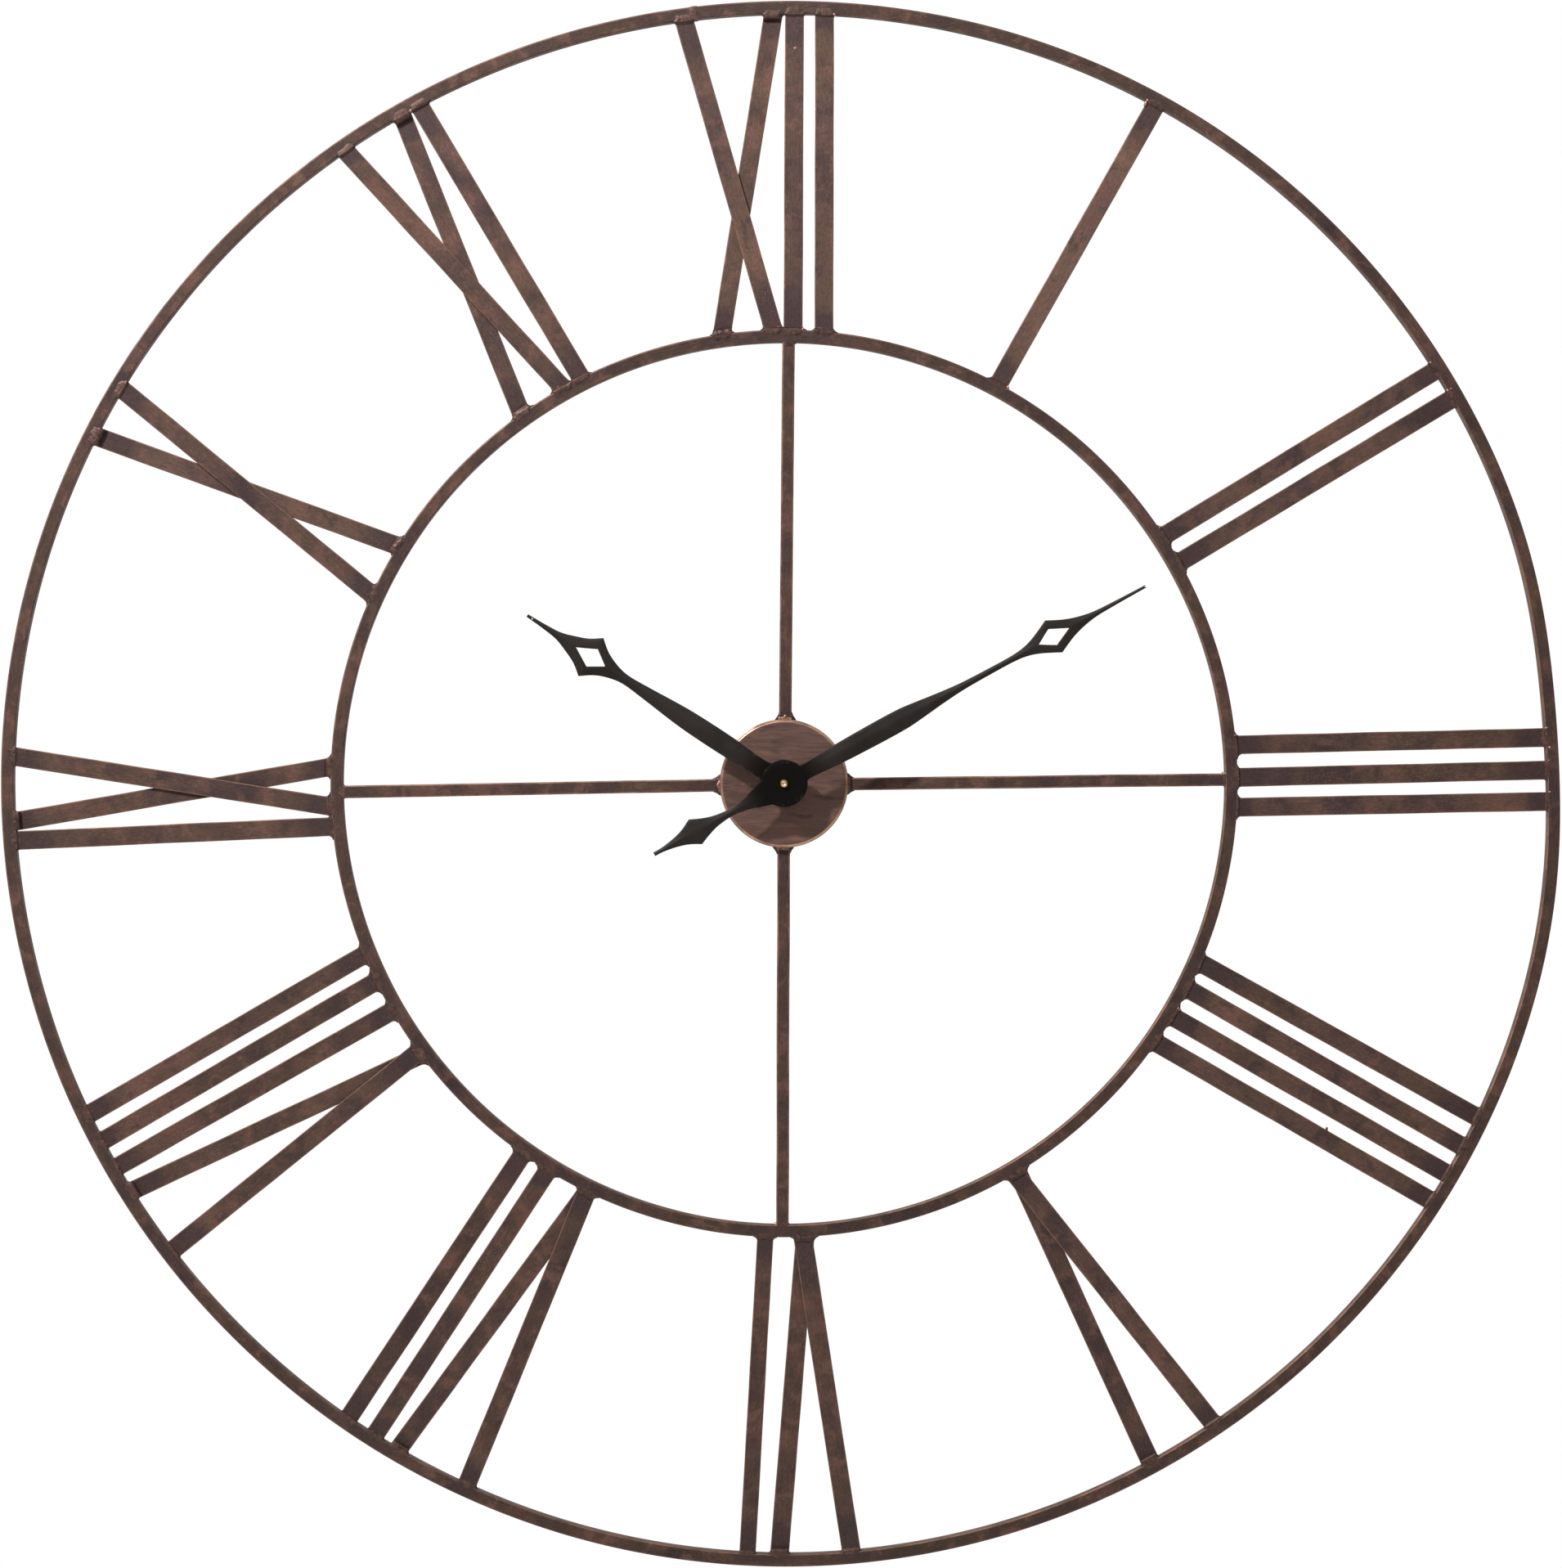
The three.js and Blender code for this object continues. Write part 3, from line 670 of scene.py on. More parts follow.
def ringRadii(nodeName):
    # the hand-rolled outline, dents and all, from the node's own corners
    corners = {}
    for vert in cad[nodeName].data.vertices:
        corners.setdefault(round(dialAngle(vert.co), 2) % 360, []).append(dialRadius(vert.co))
    angles = sorted(corners)
    first = corners[angles[0]]
    return angles, [max(corners[angle]) for angle in angles], max(first) - min(first)


def ringRadiusAt(angles, radii, angle):
    # smooth curve through the corners all the way round
    place = ((angle - angles[0]) % 360) * len(angles) / 360
    i = int(place)
    t = place - i
    a, b, c, d = [radii[(i + k) % len(radii)] for k in (-1, 0, 1, 2)]
    bend = (2 * a - 5 * b + 4 * c - d) * t ** 2 + (3 * b - a - 3 * c + d) * t ** 3
    return b + ((c - a) * t + bend) / 2


def buildRing(nodeName, seed):
    angles, radii, width = ringRadii(nodeName)
    half = width / 2
    deep = (ringFront - ringBack) / 2
    depth = (ringFront + ringBack) / 2
    stations = []
    for step in range(ringForge["steps"]):
        angle = 360 * step / ringForge["steps"]
        turn = math.radians(angle)
        place = Vector((math.cos(turn), math.sin(turn), 0)) * 5 + Vector((seed, seed, 0))
        radius = ringRadiusAt(angles, radii, angle) - half + noise.noise(place) * ringForge["ripple"]
        around = Vector((math.sin(turn), 0, math.cos(turn)))
        stations.append((onDial(angle, radius, depth), around, toViewer, turn * radius))
    bm = sweepBar(stations, roundedSection(half, deep, ringForge["corner"]), closed=True)
    markPatina(bm, ringForge["heatReach"], ringShadeAndTone)
    arris = bm.verts.layers.float["arris"]
    edge = ringForge["corner"]
    for vert in bm.verts:
        angle = dialAngle(vert.co)
        inside = dialRadius(vert.co) < ringRadiusAt(angles, radii, angle) - half
        if inside and ringBack + edge < -vert.co.y < ringFront - edge:
            vert[arris] = ringForge["wallWear"]
        # painted highlight on the edges that face the key, over the wear
        facing = math.cos(math.radians(angle - ringForge["wornSide"])) * (1 if inside else -1)
        vert[arris] *= ringForge["wornLeast"] + ringForge["wornMore"] * max(0, facing)
    mesh = finishMesh(bm, nodeName)
    addPiece(nodeName + "_forged", mesh, finish["ring"], "frame", [nodeName])


buildRing("outer_ring", 3.0)
buildRing("inner_ring", 8.0)
print("rings swept")


barForge = {
    "spacing": 5 * mm,
    "flatCorner": 0.55 * mm,
    "squareCorner": 1.0 * mm,
    "wander": 0.22 * mm,  # rolled edges aren't dead straight
    "bite": 0.5 * mm,  # how far each end reaches into its weld
    "heatReach": (14 * mm, 40 * mm),
    "swell": 0.018,  # share by which the width varies
    "spokeTone": 0.78,
    # painted light and shade: the bars of each numeral share one brightness, lightest at one and darkest at
    # six
    "numeralTone": (1.48, 1.14, 0.95, 1.06, 0.92, 0.76, 0.82, 0.93, 0.93, 1.0, 0.94, 1.06),
    "toneSpread": 0.12,
}


def barTone(nodeName, seed):
    if nodeName in spokeNames:
        return barForge["spokeTone"]
    hour = int(nodeName.split("_")[1])
    spread = random.Random(seed).uniform(-1, 1) * barForge["toneSpread"]
    # painted light and shade for the numeral, spread by a random tone
    return barForge["numeralTone"][hour - 1] * (1 + spread)


def buildBar(nodeName, seed, corner, material):
    bar = bars[nodeName]
    length = ((bar["far"][0] + bar["far"][1]) / 2 - (bar["near"][0] + bar["near"][1]) / 2).length
    count = int(length / barForge["spacing"])
    bite = barForge["bite"] / length
    depth = (bar["front"] + bar["back"]) / 2
    stations = []
    for step in range(count + 1):
        share = -bite + (1 + 2 * bite) * step / count
        left = bar["near"][0].lerp(bar["far"][0], share)
        right = bar["near"][1].lerp(bar["far"][1], share)
        across = (right - left).normalized()
        hold = min(1, 6 * min(share + bite, 1 + bite - share))  # the welds hold the ends in place
        stray = shake(share * 5, seed, barForge["wander"]) * hold
        swell = 1 + shake(share * 7 + 20, seed, barForge["swell"])
        middle = (left + right) / 2 + across * stray + toViewer * depth
        stations.append((middle, across * swell, toViewer, share * length + seed * 0.61))
    outwards = bar["outwards"]
    rightwards = Vector((outwards.z, 0, -outwards.x))
    halfAcross = (bar["near"][1] - bar["near"][0]).dot(rightwards) / 2
    halfDeep = (bar["front"] - bar["back"]) / 2
    bm = sweepBar(stations, roundedSection(halfAcross, halfDeep, corner))
    tone = barTone(nodeName, seed)
    reach = random.Random(seed + 40).uniform(*barForge["heatReach"])
    markPatina(bm, reach, lambda point: tone)
    mesh = finishMesh(bm, nodeName)
    addPiece(nodeName + "_rolled", mesh, material, "frame", [nodeName])


for index, name in enumerate(numeralNames):
    buildBar(name, index + 1, barForge["flatCorner"], finish["bar"])
for index, name in enumerate(spokeNames):
    buildBar(name, index + 51, barForge["squareCorner"], finish["spoke"])
print("bars rolled:", len(numeralNames), "numeral bars and", len(spokeNames), "spokes")


weldBead = {
    "cell": 0.5 * mm,
    "frontPoints": 26,
    "backPoints": 9,
    "innerLeg": (2.6 * mm, 5.2 * mm),  # hollow corners beside each bar, larger on the inner ring
    "outerLeg": (1.3 * mm, 3.4 * mm),
    "spokeLeg": (0.9 * mm, 1.8 * mm),
    "lap": (3.2 * mm, 5.8 * mm),  # onto the ring's face
    "back": (1.4 * mm, 3.4 * mm),  # back over the bar's end
    "proud": (0.08 * mm, 0.34 * mm),
    "proudTop": (0.45 * mm, 1.0 * mm),  # ten, eleven and twelve were laid thicker
    "topNumerals": ("10", "11", "12"),
    "sink": 0.12 * mm,  # how far its feathered edges lie under the iron
    "rows": (1.2 * mm, 0.8 * mm),  # how far its rows run on past the legs and past the lap
    "sway": (0.5 * mm, 2.2 * mm),  # wandering of its middle line
    "backSwell": 0.5 * mm,
    "tone": 1.05,  # beside the ring's
    "pinholes": 0.45,  # share of the beads that have one
    "pinholeRadius": (0.7 * mm, 1.0 * mm),
    "pinholeDepth": (0.5 * mm, 0.9 * mm),
    "brightShare": 0.22,  # share of the beads with a drop that stayed bright
    "dropHeight": 0.9 * mm,
    "dropSunk": 0.7 * mm,  # its middle behind the ring's face
    "dropClear": 0.2 * mm,  # its middle off the bar's side
}

# drops that stayed bright: side of the bar, then mm down the bar, length and width
brightDrops = {
    "weld_1_1_outer": [(-1, 2.0, 3.0, 1.0), (-1, -1.2, 1.7, 1.1)],
    "weld_2_1_outer": [(-1, -0.6, 1.8, 1.3)],
    "weld_2_2_outer": [(-1, -2.0, 3.4, 1.2)],
    "weld_3_1_outer": [(-1, -2.4, 3.2, 1.3), (1, -3.4, 1.7, 1.3)],
    "weld_3_2_outer": [(-1, -2.4, 1.8, 1.2)],
    "weld_3_3_outer": [(-1, -2.2, 1.5, 1.0)],
    "weld_2_1_inner": [(-1, 0.4, 1.1, 0.8)],
    "weld_4_3_outer": [(1, -0.4, 1.8, 0.8)],
}


def weldAxes(left, right, ringSide):
    # middle of the bar's end, the way across it, and the way from the bar to what it is welded to
    along = (right - left).normalized()
    radial = Vector((-along.z, 0, along.x))
    middle = (left + right) / 2
    outwards = middle - Vector((dialCentre.x, 0, dialCentre.z))
    if radial.dot(outwards) * ringSide < 0:
        radial = -radial
    return middle, along, radial


def addDrop(bm, spot, axes, sizes, tilt=0.0):
    # one molten drop, its sizes given along its three axes
    along, radial, out = axes
    turned = Matrix.Rotation(tilt, 3, out)
    basis = Matrix((turned @ along, turned @ radial, out)).transposed().to_4x4()
    stretch = Matrix.Diagonal((*sizes, 1))
    place = Matrix.Translation(spot) @ basis @ stretch
    return bmesh.ops.create_icosphere(bm, subdivisions=2, radius=1, matrix=place)["verts"]


def fuse(bm, name, grain, smoothing):
    # joins the drops into one skin
    mesh = finishMesh(bm, name + "_drops")
    lump = addToScene(name + "_drops", mesh)
    skin = lump.modifiers.new("skin", "REMESH")
    skin.mode = "VOXEL"
    skin.voxel_size = grain
    joined = bpy.data.meshes.new_from_object(lump.evaluated_get(bpy.context.evaluated_depsgraph_get()))
    bpy.data.objects.remove(lump)
    bpy.data.meshes.remove(mesh)
    bm = bmesh.new()
    bm.from_mesh(joined)
    bpy.data.meshes.remove(joined)
    everyWay = {"use_axis_x": True, "use_axis_y": True, "use_axis_z": True}
    for _ in range(smoothing):
        bmesh.ops.smooth_vert(bm, verts=bm.verts, factor=0.5, **everyWay)
    return bm


def weldMarks(bm):
    # the marks that the weld's finish reads
    return {key: bm.verts.layers.float.new(key) for key in ("crest", "toe", "pit", "bright", "tone")}


def dressWeld(bm, seed, frontFace, tone):
    # ripples on fused drops, and their marks by height above the bar's front face
    marks = weldMarks(bm)
    bm.normal_update()
    for vert in bm.verts:
        vert.co += vert.normal * noise.noise(vert.co * 330 + Vector((seed, 0, 0))) * 0.08 * mm
        height = (-vert.co.y - frontFace) / mm
        vert[marks["crest"]] = clamp(height) * max(0, -vert.normal.y)
        # painted shade low on the drops, where they meet the bar
        vert[marks["toe"]] = 0.5 * max(0, 1 - max(0, height) / 0.30) if height > -0.4 else 0.1
        vert[marks["bright"]] = clamp((height - 0.9) / 0.8)
        vert[marks["tone"]] = tone
    bm.normal_update()


def legWidth(r, leg):
    # how far the hollow corner stands out from the bar's side, r measured from the ring's wall
    if r <= -leg:
        return 0.0
    if r >= 0:
        return leg * math.exp(-r / (1.2 * mm))
    return leg * (1 - math.sqrt(max(0, 1 - ((r + leg) / leg) ** 2)))


def fullness(u):
    # squarish half round across the bead, 1 in the middle and 0 at its edges
    return (1 - abs(u) ** 7) ** (1 / 7)


def weldRow(r, half, legs, bar, shape):
    # one closed section of the bead as (across, out, crest): its front from left to right, then its back
    step = ringFront - bar["front"]
    climb = max(1.6 * mm, step * 1.3)
    share = clamp((r + climb) / (climb * 0.5))
    sink = weldBead["sink"]
    floorDepth = bar["front"] + step * share * share * (3 - 2 * share) - sink
    ceiling = bar["back"] + sink
    middle = (floorDepth + ceiling) / 2
    seed = shape["seed"]
    widths = [half - sink + legWidth(r, leg) for leg in legs]
    row = []
    count = weldBead["frontPoints"]
    for k in range(count + 1):
        u = math.sin(math.pi / 2 * (2 * k / count - 1))
        t = u * widths[0 if u < 0 else 1]
        sway = shape["sway"] * noise.noise(Vector((t * 260, seed, 0)))
        x = (r - shape["centre"] - sway) / shape["spread"] - 0.22 * noise.noise(Vector((t * 700, seed, 5)))
        lift = max(0, 1 - x * x) ** 0.7 * max(0, 1 - abs(u) ** 5)
        wave = math.sin(t / (0.36 * mm) + 3 * noise.noise(Vector((t * 300, r * 300, seed))))
        crest = lift * (0.85 + 0.15 * wave)
        depth = floorDepth + shape["proud"] * crest + (sink * lift if r < 0 else 0)
        row.append((t, middle + (depth - middle) * fullness(u), crest))
    count = weldBead["backPoints"]
    hump = weldBead["backSwell"] * math.exp(-(r + 1 * mm) ** 2 / (2 * mm) ** 2)
    for k in range(1, count):
        u = math.sin(math.pi / 2 * (1 - 2 * k / count))
        depth = ceiling - hump * (1 + noise.noise(Vector((u * 3, r * 400, 9))))
        row.append((u * widths[0 if u < 0 else 1], middle + (depth - middle) * fullness(u), 0.0))
    return row


def buildWeld(name, left, right, bar, ringSide, seed, legRange):
    rng = random.Random(seed)
    middle, along, radial = weldAxes(left, right, ringSide)
    barWay = bar["outwards"] * ringSide
    barWay = barWay / barWay.dot(radial)
    half = (right - left).length / 2
    legs = [rng.uniform(*legRange) for _ in range(2)]
    lap = rng.uniform(*weldBead["lap"])
    back = rng.uniform(*weldBead["back"])
    thick = name.split("_")[1] in weldBead["topNumerals"]
    shape = {
        "centre": (lap - back) / 2,
        "spread": (lap + back) / 2,
        "sway": rng.uniform(*weldBead["sway"]),
        "proud": rng.uniform(*weldBead["proudTop" if thick else "proud"]),
        "seed": seed * 1.37,
    }
    bm = bmesh.new()
    marks = weldMarks(bm)
    r = -max(max(legs), back) - weldBead["rows"][0]
    rows = []
    while r < lap + weldBead["rows"][1]:
        row = []
        for t, depth, crest in weldRow(r, half, legs, bar, shape):
            way = radial if r > 0 else barWay
            vert = bm.verts.new(middle + along * t + way * r + toViewer * depth)
            vert[marks["crest"]] = crest
            # painted shade in a band round the bead's foot
            vert[marks["toe"]] = max(0, 1 - abs(crest - 0.22) / 0.18) if crest > 0.02 else 0.0
            row.append(vert)
        rows.append(row)
        r += weldBead["cell"]
    skinRows(bm, rows)
    bm.faces.new(rows[0])
    bm.faces.new(list(reversed(rows[-1])))
    bmesh.ops.recalc_face_normals(bm, faces=bm.faces)
    if rng.random() < weldBead["pinholes"]:
        spot = middle + along * rng.uniform(-0.7, 0.7) * half + radial * rng.uniform(-0.5, 2.4) * mm
        radius = rng.uniform(*weldBead["pinholeRadius"])
        sinkPinhole(bm, marks["pit"], spot, radius, rng.uniform(*weldBead["pinholeDepth"]))
    drops = brightDrops.get(name, [])
    if not drops and rng.random() < weldBead["brightShare"]:
        side = rng.choice((-1, 1))
        drops = [(side, rng.uniform(-0.5, 0.5), rng.uniform(1.2, 2.2), rng.uniform(0.8, 1.3))]
    axes = (along, barWay.normalized(), toViewer)
    for side, down, length, width in drops:
        corner = left if side < 0 else right
        spot = corner + along * side * weldBead["dropClear"] - barWay * down * mm
        spot += toViewer * (ringFront - weldBead["dropSunk"])
        sizes = (width * mm, length * mm, weldBead["dropHeight"])
        for vert in addDrop(bm, spot, axes, sizes, rng.uniform(-0.3, 0.3)):
            vert.co += (vert.co - spot) * noise.noise(vert.co * 700) * 0.7
            vert[marks["bright"]] = 1.0
    for vert in bm.verts:
        # the ring's painted shade and tone carry on into the bead
        vert[marks["tone"]] = ringShadeAndTone(vert.co) * weldBead["tone"]
    addPiece(name, finishMesh(bm, name), finish["weld"], "frame", smoothAngle=60)


def sinkPinhole(bm, pit, spot, radius, depth):
    for vert in bm.verts:
        near = (Vector((vert.co.x, 0, vert.co.z)) - spot).length
        if near < radius and -vert.co.y > ringFront - 1.5 * mm:
            share = math.cos(near / radius * math.pi / 2)
            vert.co.y += depth * share
            vert[pit] = min(1, share * 1.5)


for index, name in enumerate(numeralNames):
    bar = bars[name]
    short = name.replace("numeral_", "weld_").replace("_bar", "")
    buildWeld(short + "_outer", *bar["far"], bar, 1, 100 + index, weldBead["outerLeg"])
    buildWeld(short + "_inner", *bar["near"], bar, -1, 200 + index, weldBead["innerLeg"])
for index, name in enumerate(spokeNames):
    bar = bars[name]
    short = name.replace("spoke", "weld_spoke")
    buildWeld(short + "_ring", *bar["far"], bar, 1, 300 + index, weldBead["spokeLeg"])
print("numeral and spoke beads laid")


ringSeam = {
    "angle": -6.7,  # degrees from twelve, where the outer ring's two ends were joined
    "reach": 3.4 * mm,
    "proud": 0.55 * mm,
    "sink": 0.1 * mm,  # of its edges into the ring
    "steps": 14,
    "tone": 1.15,
}


def buildRingSeam():
    # a collar of weld right round the bar
    angles, radii, width = ringRadii("outer_ring")
    half = width / 2
    deep = (ringFront - ringBack) / 2
    angle = ringSeam["angle"]
    turn = math.radians(angle)
    around = Vector((math.sin(turn), 0, math.cos(turn)))
    forward = Vector((math.cos(turn), 0, -math.sin(turn)))
    middle = onDial(angle, ringRadiusAt(angles, radii, angle) - half, (ringFront + ringBack) / 2)
    stations = []
    for step in range(ringSeam["steps"] + 1):
        share = 2 * step / ringSeam["steps"] - 1
        run = share * ringSeam["reach"]
        grow = ringSeam["proud"] * math.sqrt(1 - share * share) - ringSeam["sink"]
        across, out = around * (1 + grow / half), toViewer * (1 + grow / deep)
        stations.append((middle + forward * run, across, out, run))
    bm = sweepBar(stations, roundedSection(half, deep, ringForge["corner"], faceSteps=16))
    for vert in bm.verts:
        vert.co += forward * shake(dialRadius(vert.co) * 420, 5, 0.9 * mm)
        vert.co += (vert.co - middle) * noise.noise(vert.co * 600) * 0.03
    markPatina(bm, ringForge["heatReach"], lambda point: ringSeam["tone"])
    name = "weld_ring_seam"
    addPiece(name, finishMesh(bm, name), finish["ring"], "frame")


buildRingSeam()

# small marks of the making: the bar, mm from the outer ring, mm across from its middle, sizes, bright
strayMarks = {
    "burr_numeral_4": ("numeral_4_bar_4", 100, -7.6, (2.2, 1.0, 0.8), 0.0),
    "fleck_numeral_12": ("numeral_12_bar_3", 27, 0.6, (1.6, 0.6, 0.22), 1.0),
    "spatter_numeral_12": ("numeral_12_bar_4", 41, 3.1, (0.4, 0.6, 0.20), 0.4),
    "spatter_numeral_2": ("numeral_2_bar_1", 34, -2.2, (0.6, 0.5, 0.25), 0.2),
}


def buildMark(name, barName, fromRing, across, sizes, bright):
    bar = bars[barName]
    left, right = bar["far"]
    aside = (right - left).normalized()
    spot = (left + right) / 2 + toViewer * bar["front"]
    spot += (aside * across - bar["outwards"] * fromRing) * mm
    bm = bmesh.new()
    marks = weldMarks(bm)
    addDrop(bm, spot, (aside, bar["outwards"], toViewer), [size * mm for size in sizes], 0.3)
    for vert in bm.verts:
        vert.co += (vert.co - spot) * noise.noise(vert.co * 900) * 0.6
        vert[marks["tone"]] = 1.0
        vert[marks["bright"]] = bright
    addPiece(name, finishMesh(bm, name), finish["weld"], "frame", smoothAngle=0)


for name, mark in strayMarks.items():
    buildMark(name, *mark)


hangerWeld = {
    "radii": (0.28, 0.50, 0.72),  # shares of the ring's width, in from its outer edge
    "sizes": ((1.7 * mm, 2.2 * mm), (1.8 * mm, 2.4 * mm), (1.3 * mm, 1.6 * mm)),
    "inside": 0.4 * mm,  # from the hanger's end
    "behind": 0.7 * mm,  # the ring's back face
    "grain": 0.5 * mm,
}


def buildHangerWeld(name, side, seed):
    # three drops down each end of the hanger, where it meets the back of the ring
    rng = random.Random(seed)
    low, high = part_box("hanger_bridge")
    end = high.x if side > 0 else low.x
    angles, radii, width = ringRadii("outer_ring")
    axes = (Vector((1, 0, 0)), Vector((0, 0, 1)), toViewer)
    bm = bmesh.new()
    for share in hangerWeld["radii"]:
        radius = radii[0] - width * share
        height = dialCentre.z + math.sqrt(radius ** 2 - (end - dialCentre.x) ** 2)
        spot = Vector((end - side * hangerWeld["inside"], hangerWeld["behind"] - ringBack, height))
        sizes = [rng.uniform(*limits) for limits in hangerWeld["sizes"]]
        addDrop(bm, spot, axes, sizes, rng.uniform(-0.4, 0.4))
    bm = fuse(bm, name, hangerWeld["grain"], 3)
    dressWeld(bm, seed, ringFront, barForge["spokeTone"])
    addPiece(name, finishMesh(bm, name), finish["weld"], "frame", smoothAngle=0)


buildHangerWeld("weld_hanger_left", -1, 501)
buildHangerWeld("weld_hanger_right", 1, 502)
print("ring seam, stray marks and hanger welds laid")


hubWeld = {
    "flare": 3.4 * mm,  # how far each web spreads along the hub
    "reach": 5.6 * mm,  # and how far it runs up the spoke
    "spread": (0.85, 1.15),  # of both, from web to web
    "overlap": 2 * mm,  # onto the spoke
    "bite": 1.6 * mm,  # into the hub
    "rampDrops": 5,  # side by side on the spoke's face
    "rampStep": 2.2 * mm,
    "rampWidth": 2.4 * mm,
    "rampLength": (2.6 * mm, 3.4 * mm),
    "rampHeight": (1.8 * mm, 2.4 * mm),
    "rampSunk": 0.5 * mm,
    "grain": 0.55 * mm,
    # drops that stand alone: mm across from the spoke's middle, mm up it, size
    "drops": {"top": [(-0.2, 2.6, 1.5)], "left": [(0.3, 1.9, 1.2), (-1.6, 0.7, 1.0)]},
}


def buildHubWeld(name, seed):
    # a smooth web on each side of the spoke and a ramp of weld from its face up to the hub's wall
    rng = random.Random(seed)
    bar = bars[name]
    left, right = bar["near"]
    middle, along, radial = weldAxes(left, right, -1)
    axes = (along, radial, toViewer)
    overlap, bite = hubWeld["overlap"], hubWeld["bite"]
    bm = bmesh.new()
    for corner, side in ((left, -1), (right, 1)):
        flare = hubWeld["flare"] * rng.uniform(*hubWeld["spread"])
        reach = hubWeld["reach"] * rng.uniform(*hubWeld["spread"])
        # the web's corners: out from the bar's side, then towards the hub
        web = [(-overlap, -reach), (0, -reach * 1.05), (flare * 0.42, -reach * 0.45)]
        web += [(flare, 0), (flare, bite), (-overlap, bite)]
        outline = [corner + along * side * out + radial * inward for out, inward in web]
        rows = []
        for depth in (bar["back"] + 0.8 * mm, bar["front"] - 0.3 * mm):
            rows.append([bm.verts.new(spot + toViewer * depth) for spot in outline])
        faces = [bm.faces.new(rows[0]), bm.faces.new(list(reversed(rows[1])))]
        faces += skinRows(bm, rows)
        bmesh.ops.recalc_face_normals(bm, faces=faces)
    for i in range(hubWeld["rampDrops"]):
        across = (i - hubWeld["rampDrops"] // 2) * hubWeld["rampStep"]
        length = rng.uniform(*hubWeld["rampLength"])
        sizes = (hubWeld["rampWidth"], length, rng.uniform(*hubWeld["rampHeight"]))
        addDrop(bm, middle + along * across + toViewer * (bar["front"] - hubWeld["rampSunk"]), axes, sizes)
    for across, up, size in hubWeld["drops"].get(name.replace("spoke_", ""), []):
        spot = middle + (along * across - radial * up) * mm + toViewer * (bar["front"] + 1.1 * mm)
        addDrop(bm, spot, axes, (size * mm,) * 3)
    bm = fuse(bm, name, hubWeld["grain"], 3)
    dressWeld(bm, seed, bar["front"] + 0.2 * mm, barForge["spokeTone"])
    piece = name.replace("spoke", "weld_spoke") + "_hub"
    addPiece(piece, finishMesh(bm, piece), finish["weld"], "frame", smoothAngle=0)


for index, name in enumerate(spokeNames):
    buildHubWeld(name, 400 + index)
print("hub webs laid")


hubForge = {
    "segments": 192,
    "lidEdge": 2.3 * mm,  # radius of the lid's rolled edge
    "lidInset": 0.6 * mm,  # of the lid inside the cup's wall
    "seamDepth": 0.45 * mm,
    "seamHeight": 0.7 * mm,
    "lip": 0.8 * mm,  # radius of the cup's own edge behind the seam
    "lipDrop": 1.9 * mm,
    "wall": 2 * mm,
    "footRound": 0.6 * mm,
    "footInside": 0.4 * mm,
    "insideCorner": 1.5 * mm,
}


def latheMesh(profile, segments, name, marks=None):
    # profile is (radius, depth) round the dial's axis; a radius of 0 closes the end
    bm = bmesh.new()
    layers = {key: bm.verts.layers.float.new(key) for key in ("arris", "toe")}
    rows = []
    for i, (radius, depth) in enumerate(profile):
        row = []
        for k in range(segments if radius else 1):
            vert = bm.verts.new(onDial(360 * k / segments, radius, depth))
            for key, values in (marks or {}).items():
                vert[layers[key]] = values.get(i, 0.0)
            row.append(vert)
        rows.append(row)
    if profile[0][0] > 0:
        rows.append(rows[0])
    for first, second in zip(rows, rows[1:]):
        for k in range(segments):
            n = (k + 1) % segments
            corners = [row[i % len(row)] for row, i in ((first, k), (first, n), (second, n), (second, k))]
            bm.faces.new(list(dict.fromkeys(corners)))
    bmesh.ops.recalc_face_normals(bm, faces=bm.faces)
    return finishMesh(bm, name)


def buildHub():
    # a spun cup with a pressed lid: the lid's rolled edge, a seam, then the cup's own wall
    radius = (hubHigh.x - hubLow.x) / 2
    front, back = -hubLow.y, -hubHigh.y
    edge, lip, wall = hubForge["lidEdge"], hubForge["lip"], hubForge["wall"]
    foot, inset = hubForge["footRound"], hubForge["lidInset"]
    lidCentre = radius - inset - edge
    bore = min(dialRadius(vert.co) for vert in cad["hub_cup"].data.vertices)
    profile, rubbed = [(bore, front)], {}
    for share in (0.2, 0.4, 0.6, 0.8, 0.9, 0.95):
        profile.append((bore + (radius - edge - bore) * share, front))
    for step in range(7):
        turn = math.radians(90 * step / 6)
        rubbed[len(profile)] = 1.0 if 2 <= step <= 4 else 0.0
        profile.append((lidCentre + edge * math.sin(turn), front - edge + edge * math.cos(turn)))
    seam = len(profile)
    profile.append((radius - inset - hubForge["seamDepth"], front - edge - hubForge["seamHeight"]))
    lipDepth = front - edge - hubForge["lipDrop"]
    for step in range(5):
        turn = math.radians(90 * step / 4)
        rubbed[len(profile)] = 0.8 if step in (1, 2) else 0.0
        profile.append((radius - lip + lip * math.sin(turn), lipDepth + lip * math.cos(turn)))
    inside, corner = radius - wall, hubForge["insideCorner"]
    profile += [
        (radius, front * 0.5),
        (radius, back + foot),
        (radius - foot, back),
        (inside + hubForge["footInside"], back),
        (inside, back + hubForge["footInside"]),
        (inside, front - wall - corner),
        (inside - corner, front - wall),
        (bore, front - wall),
    ]
    # painted shade along the seam
    mesh = latheMesh(profile, hubForge["segments"], "hub_cup", {"arris": rubbed, "toe": {seam: 0.8}})
    addPiece("hub_spun", mesh, finish["hub"], "frame", ["hub_cup"], smoothAngle=50)


buildHub()
print("hub spun")


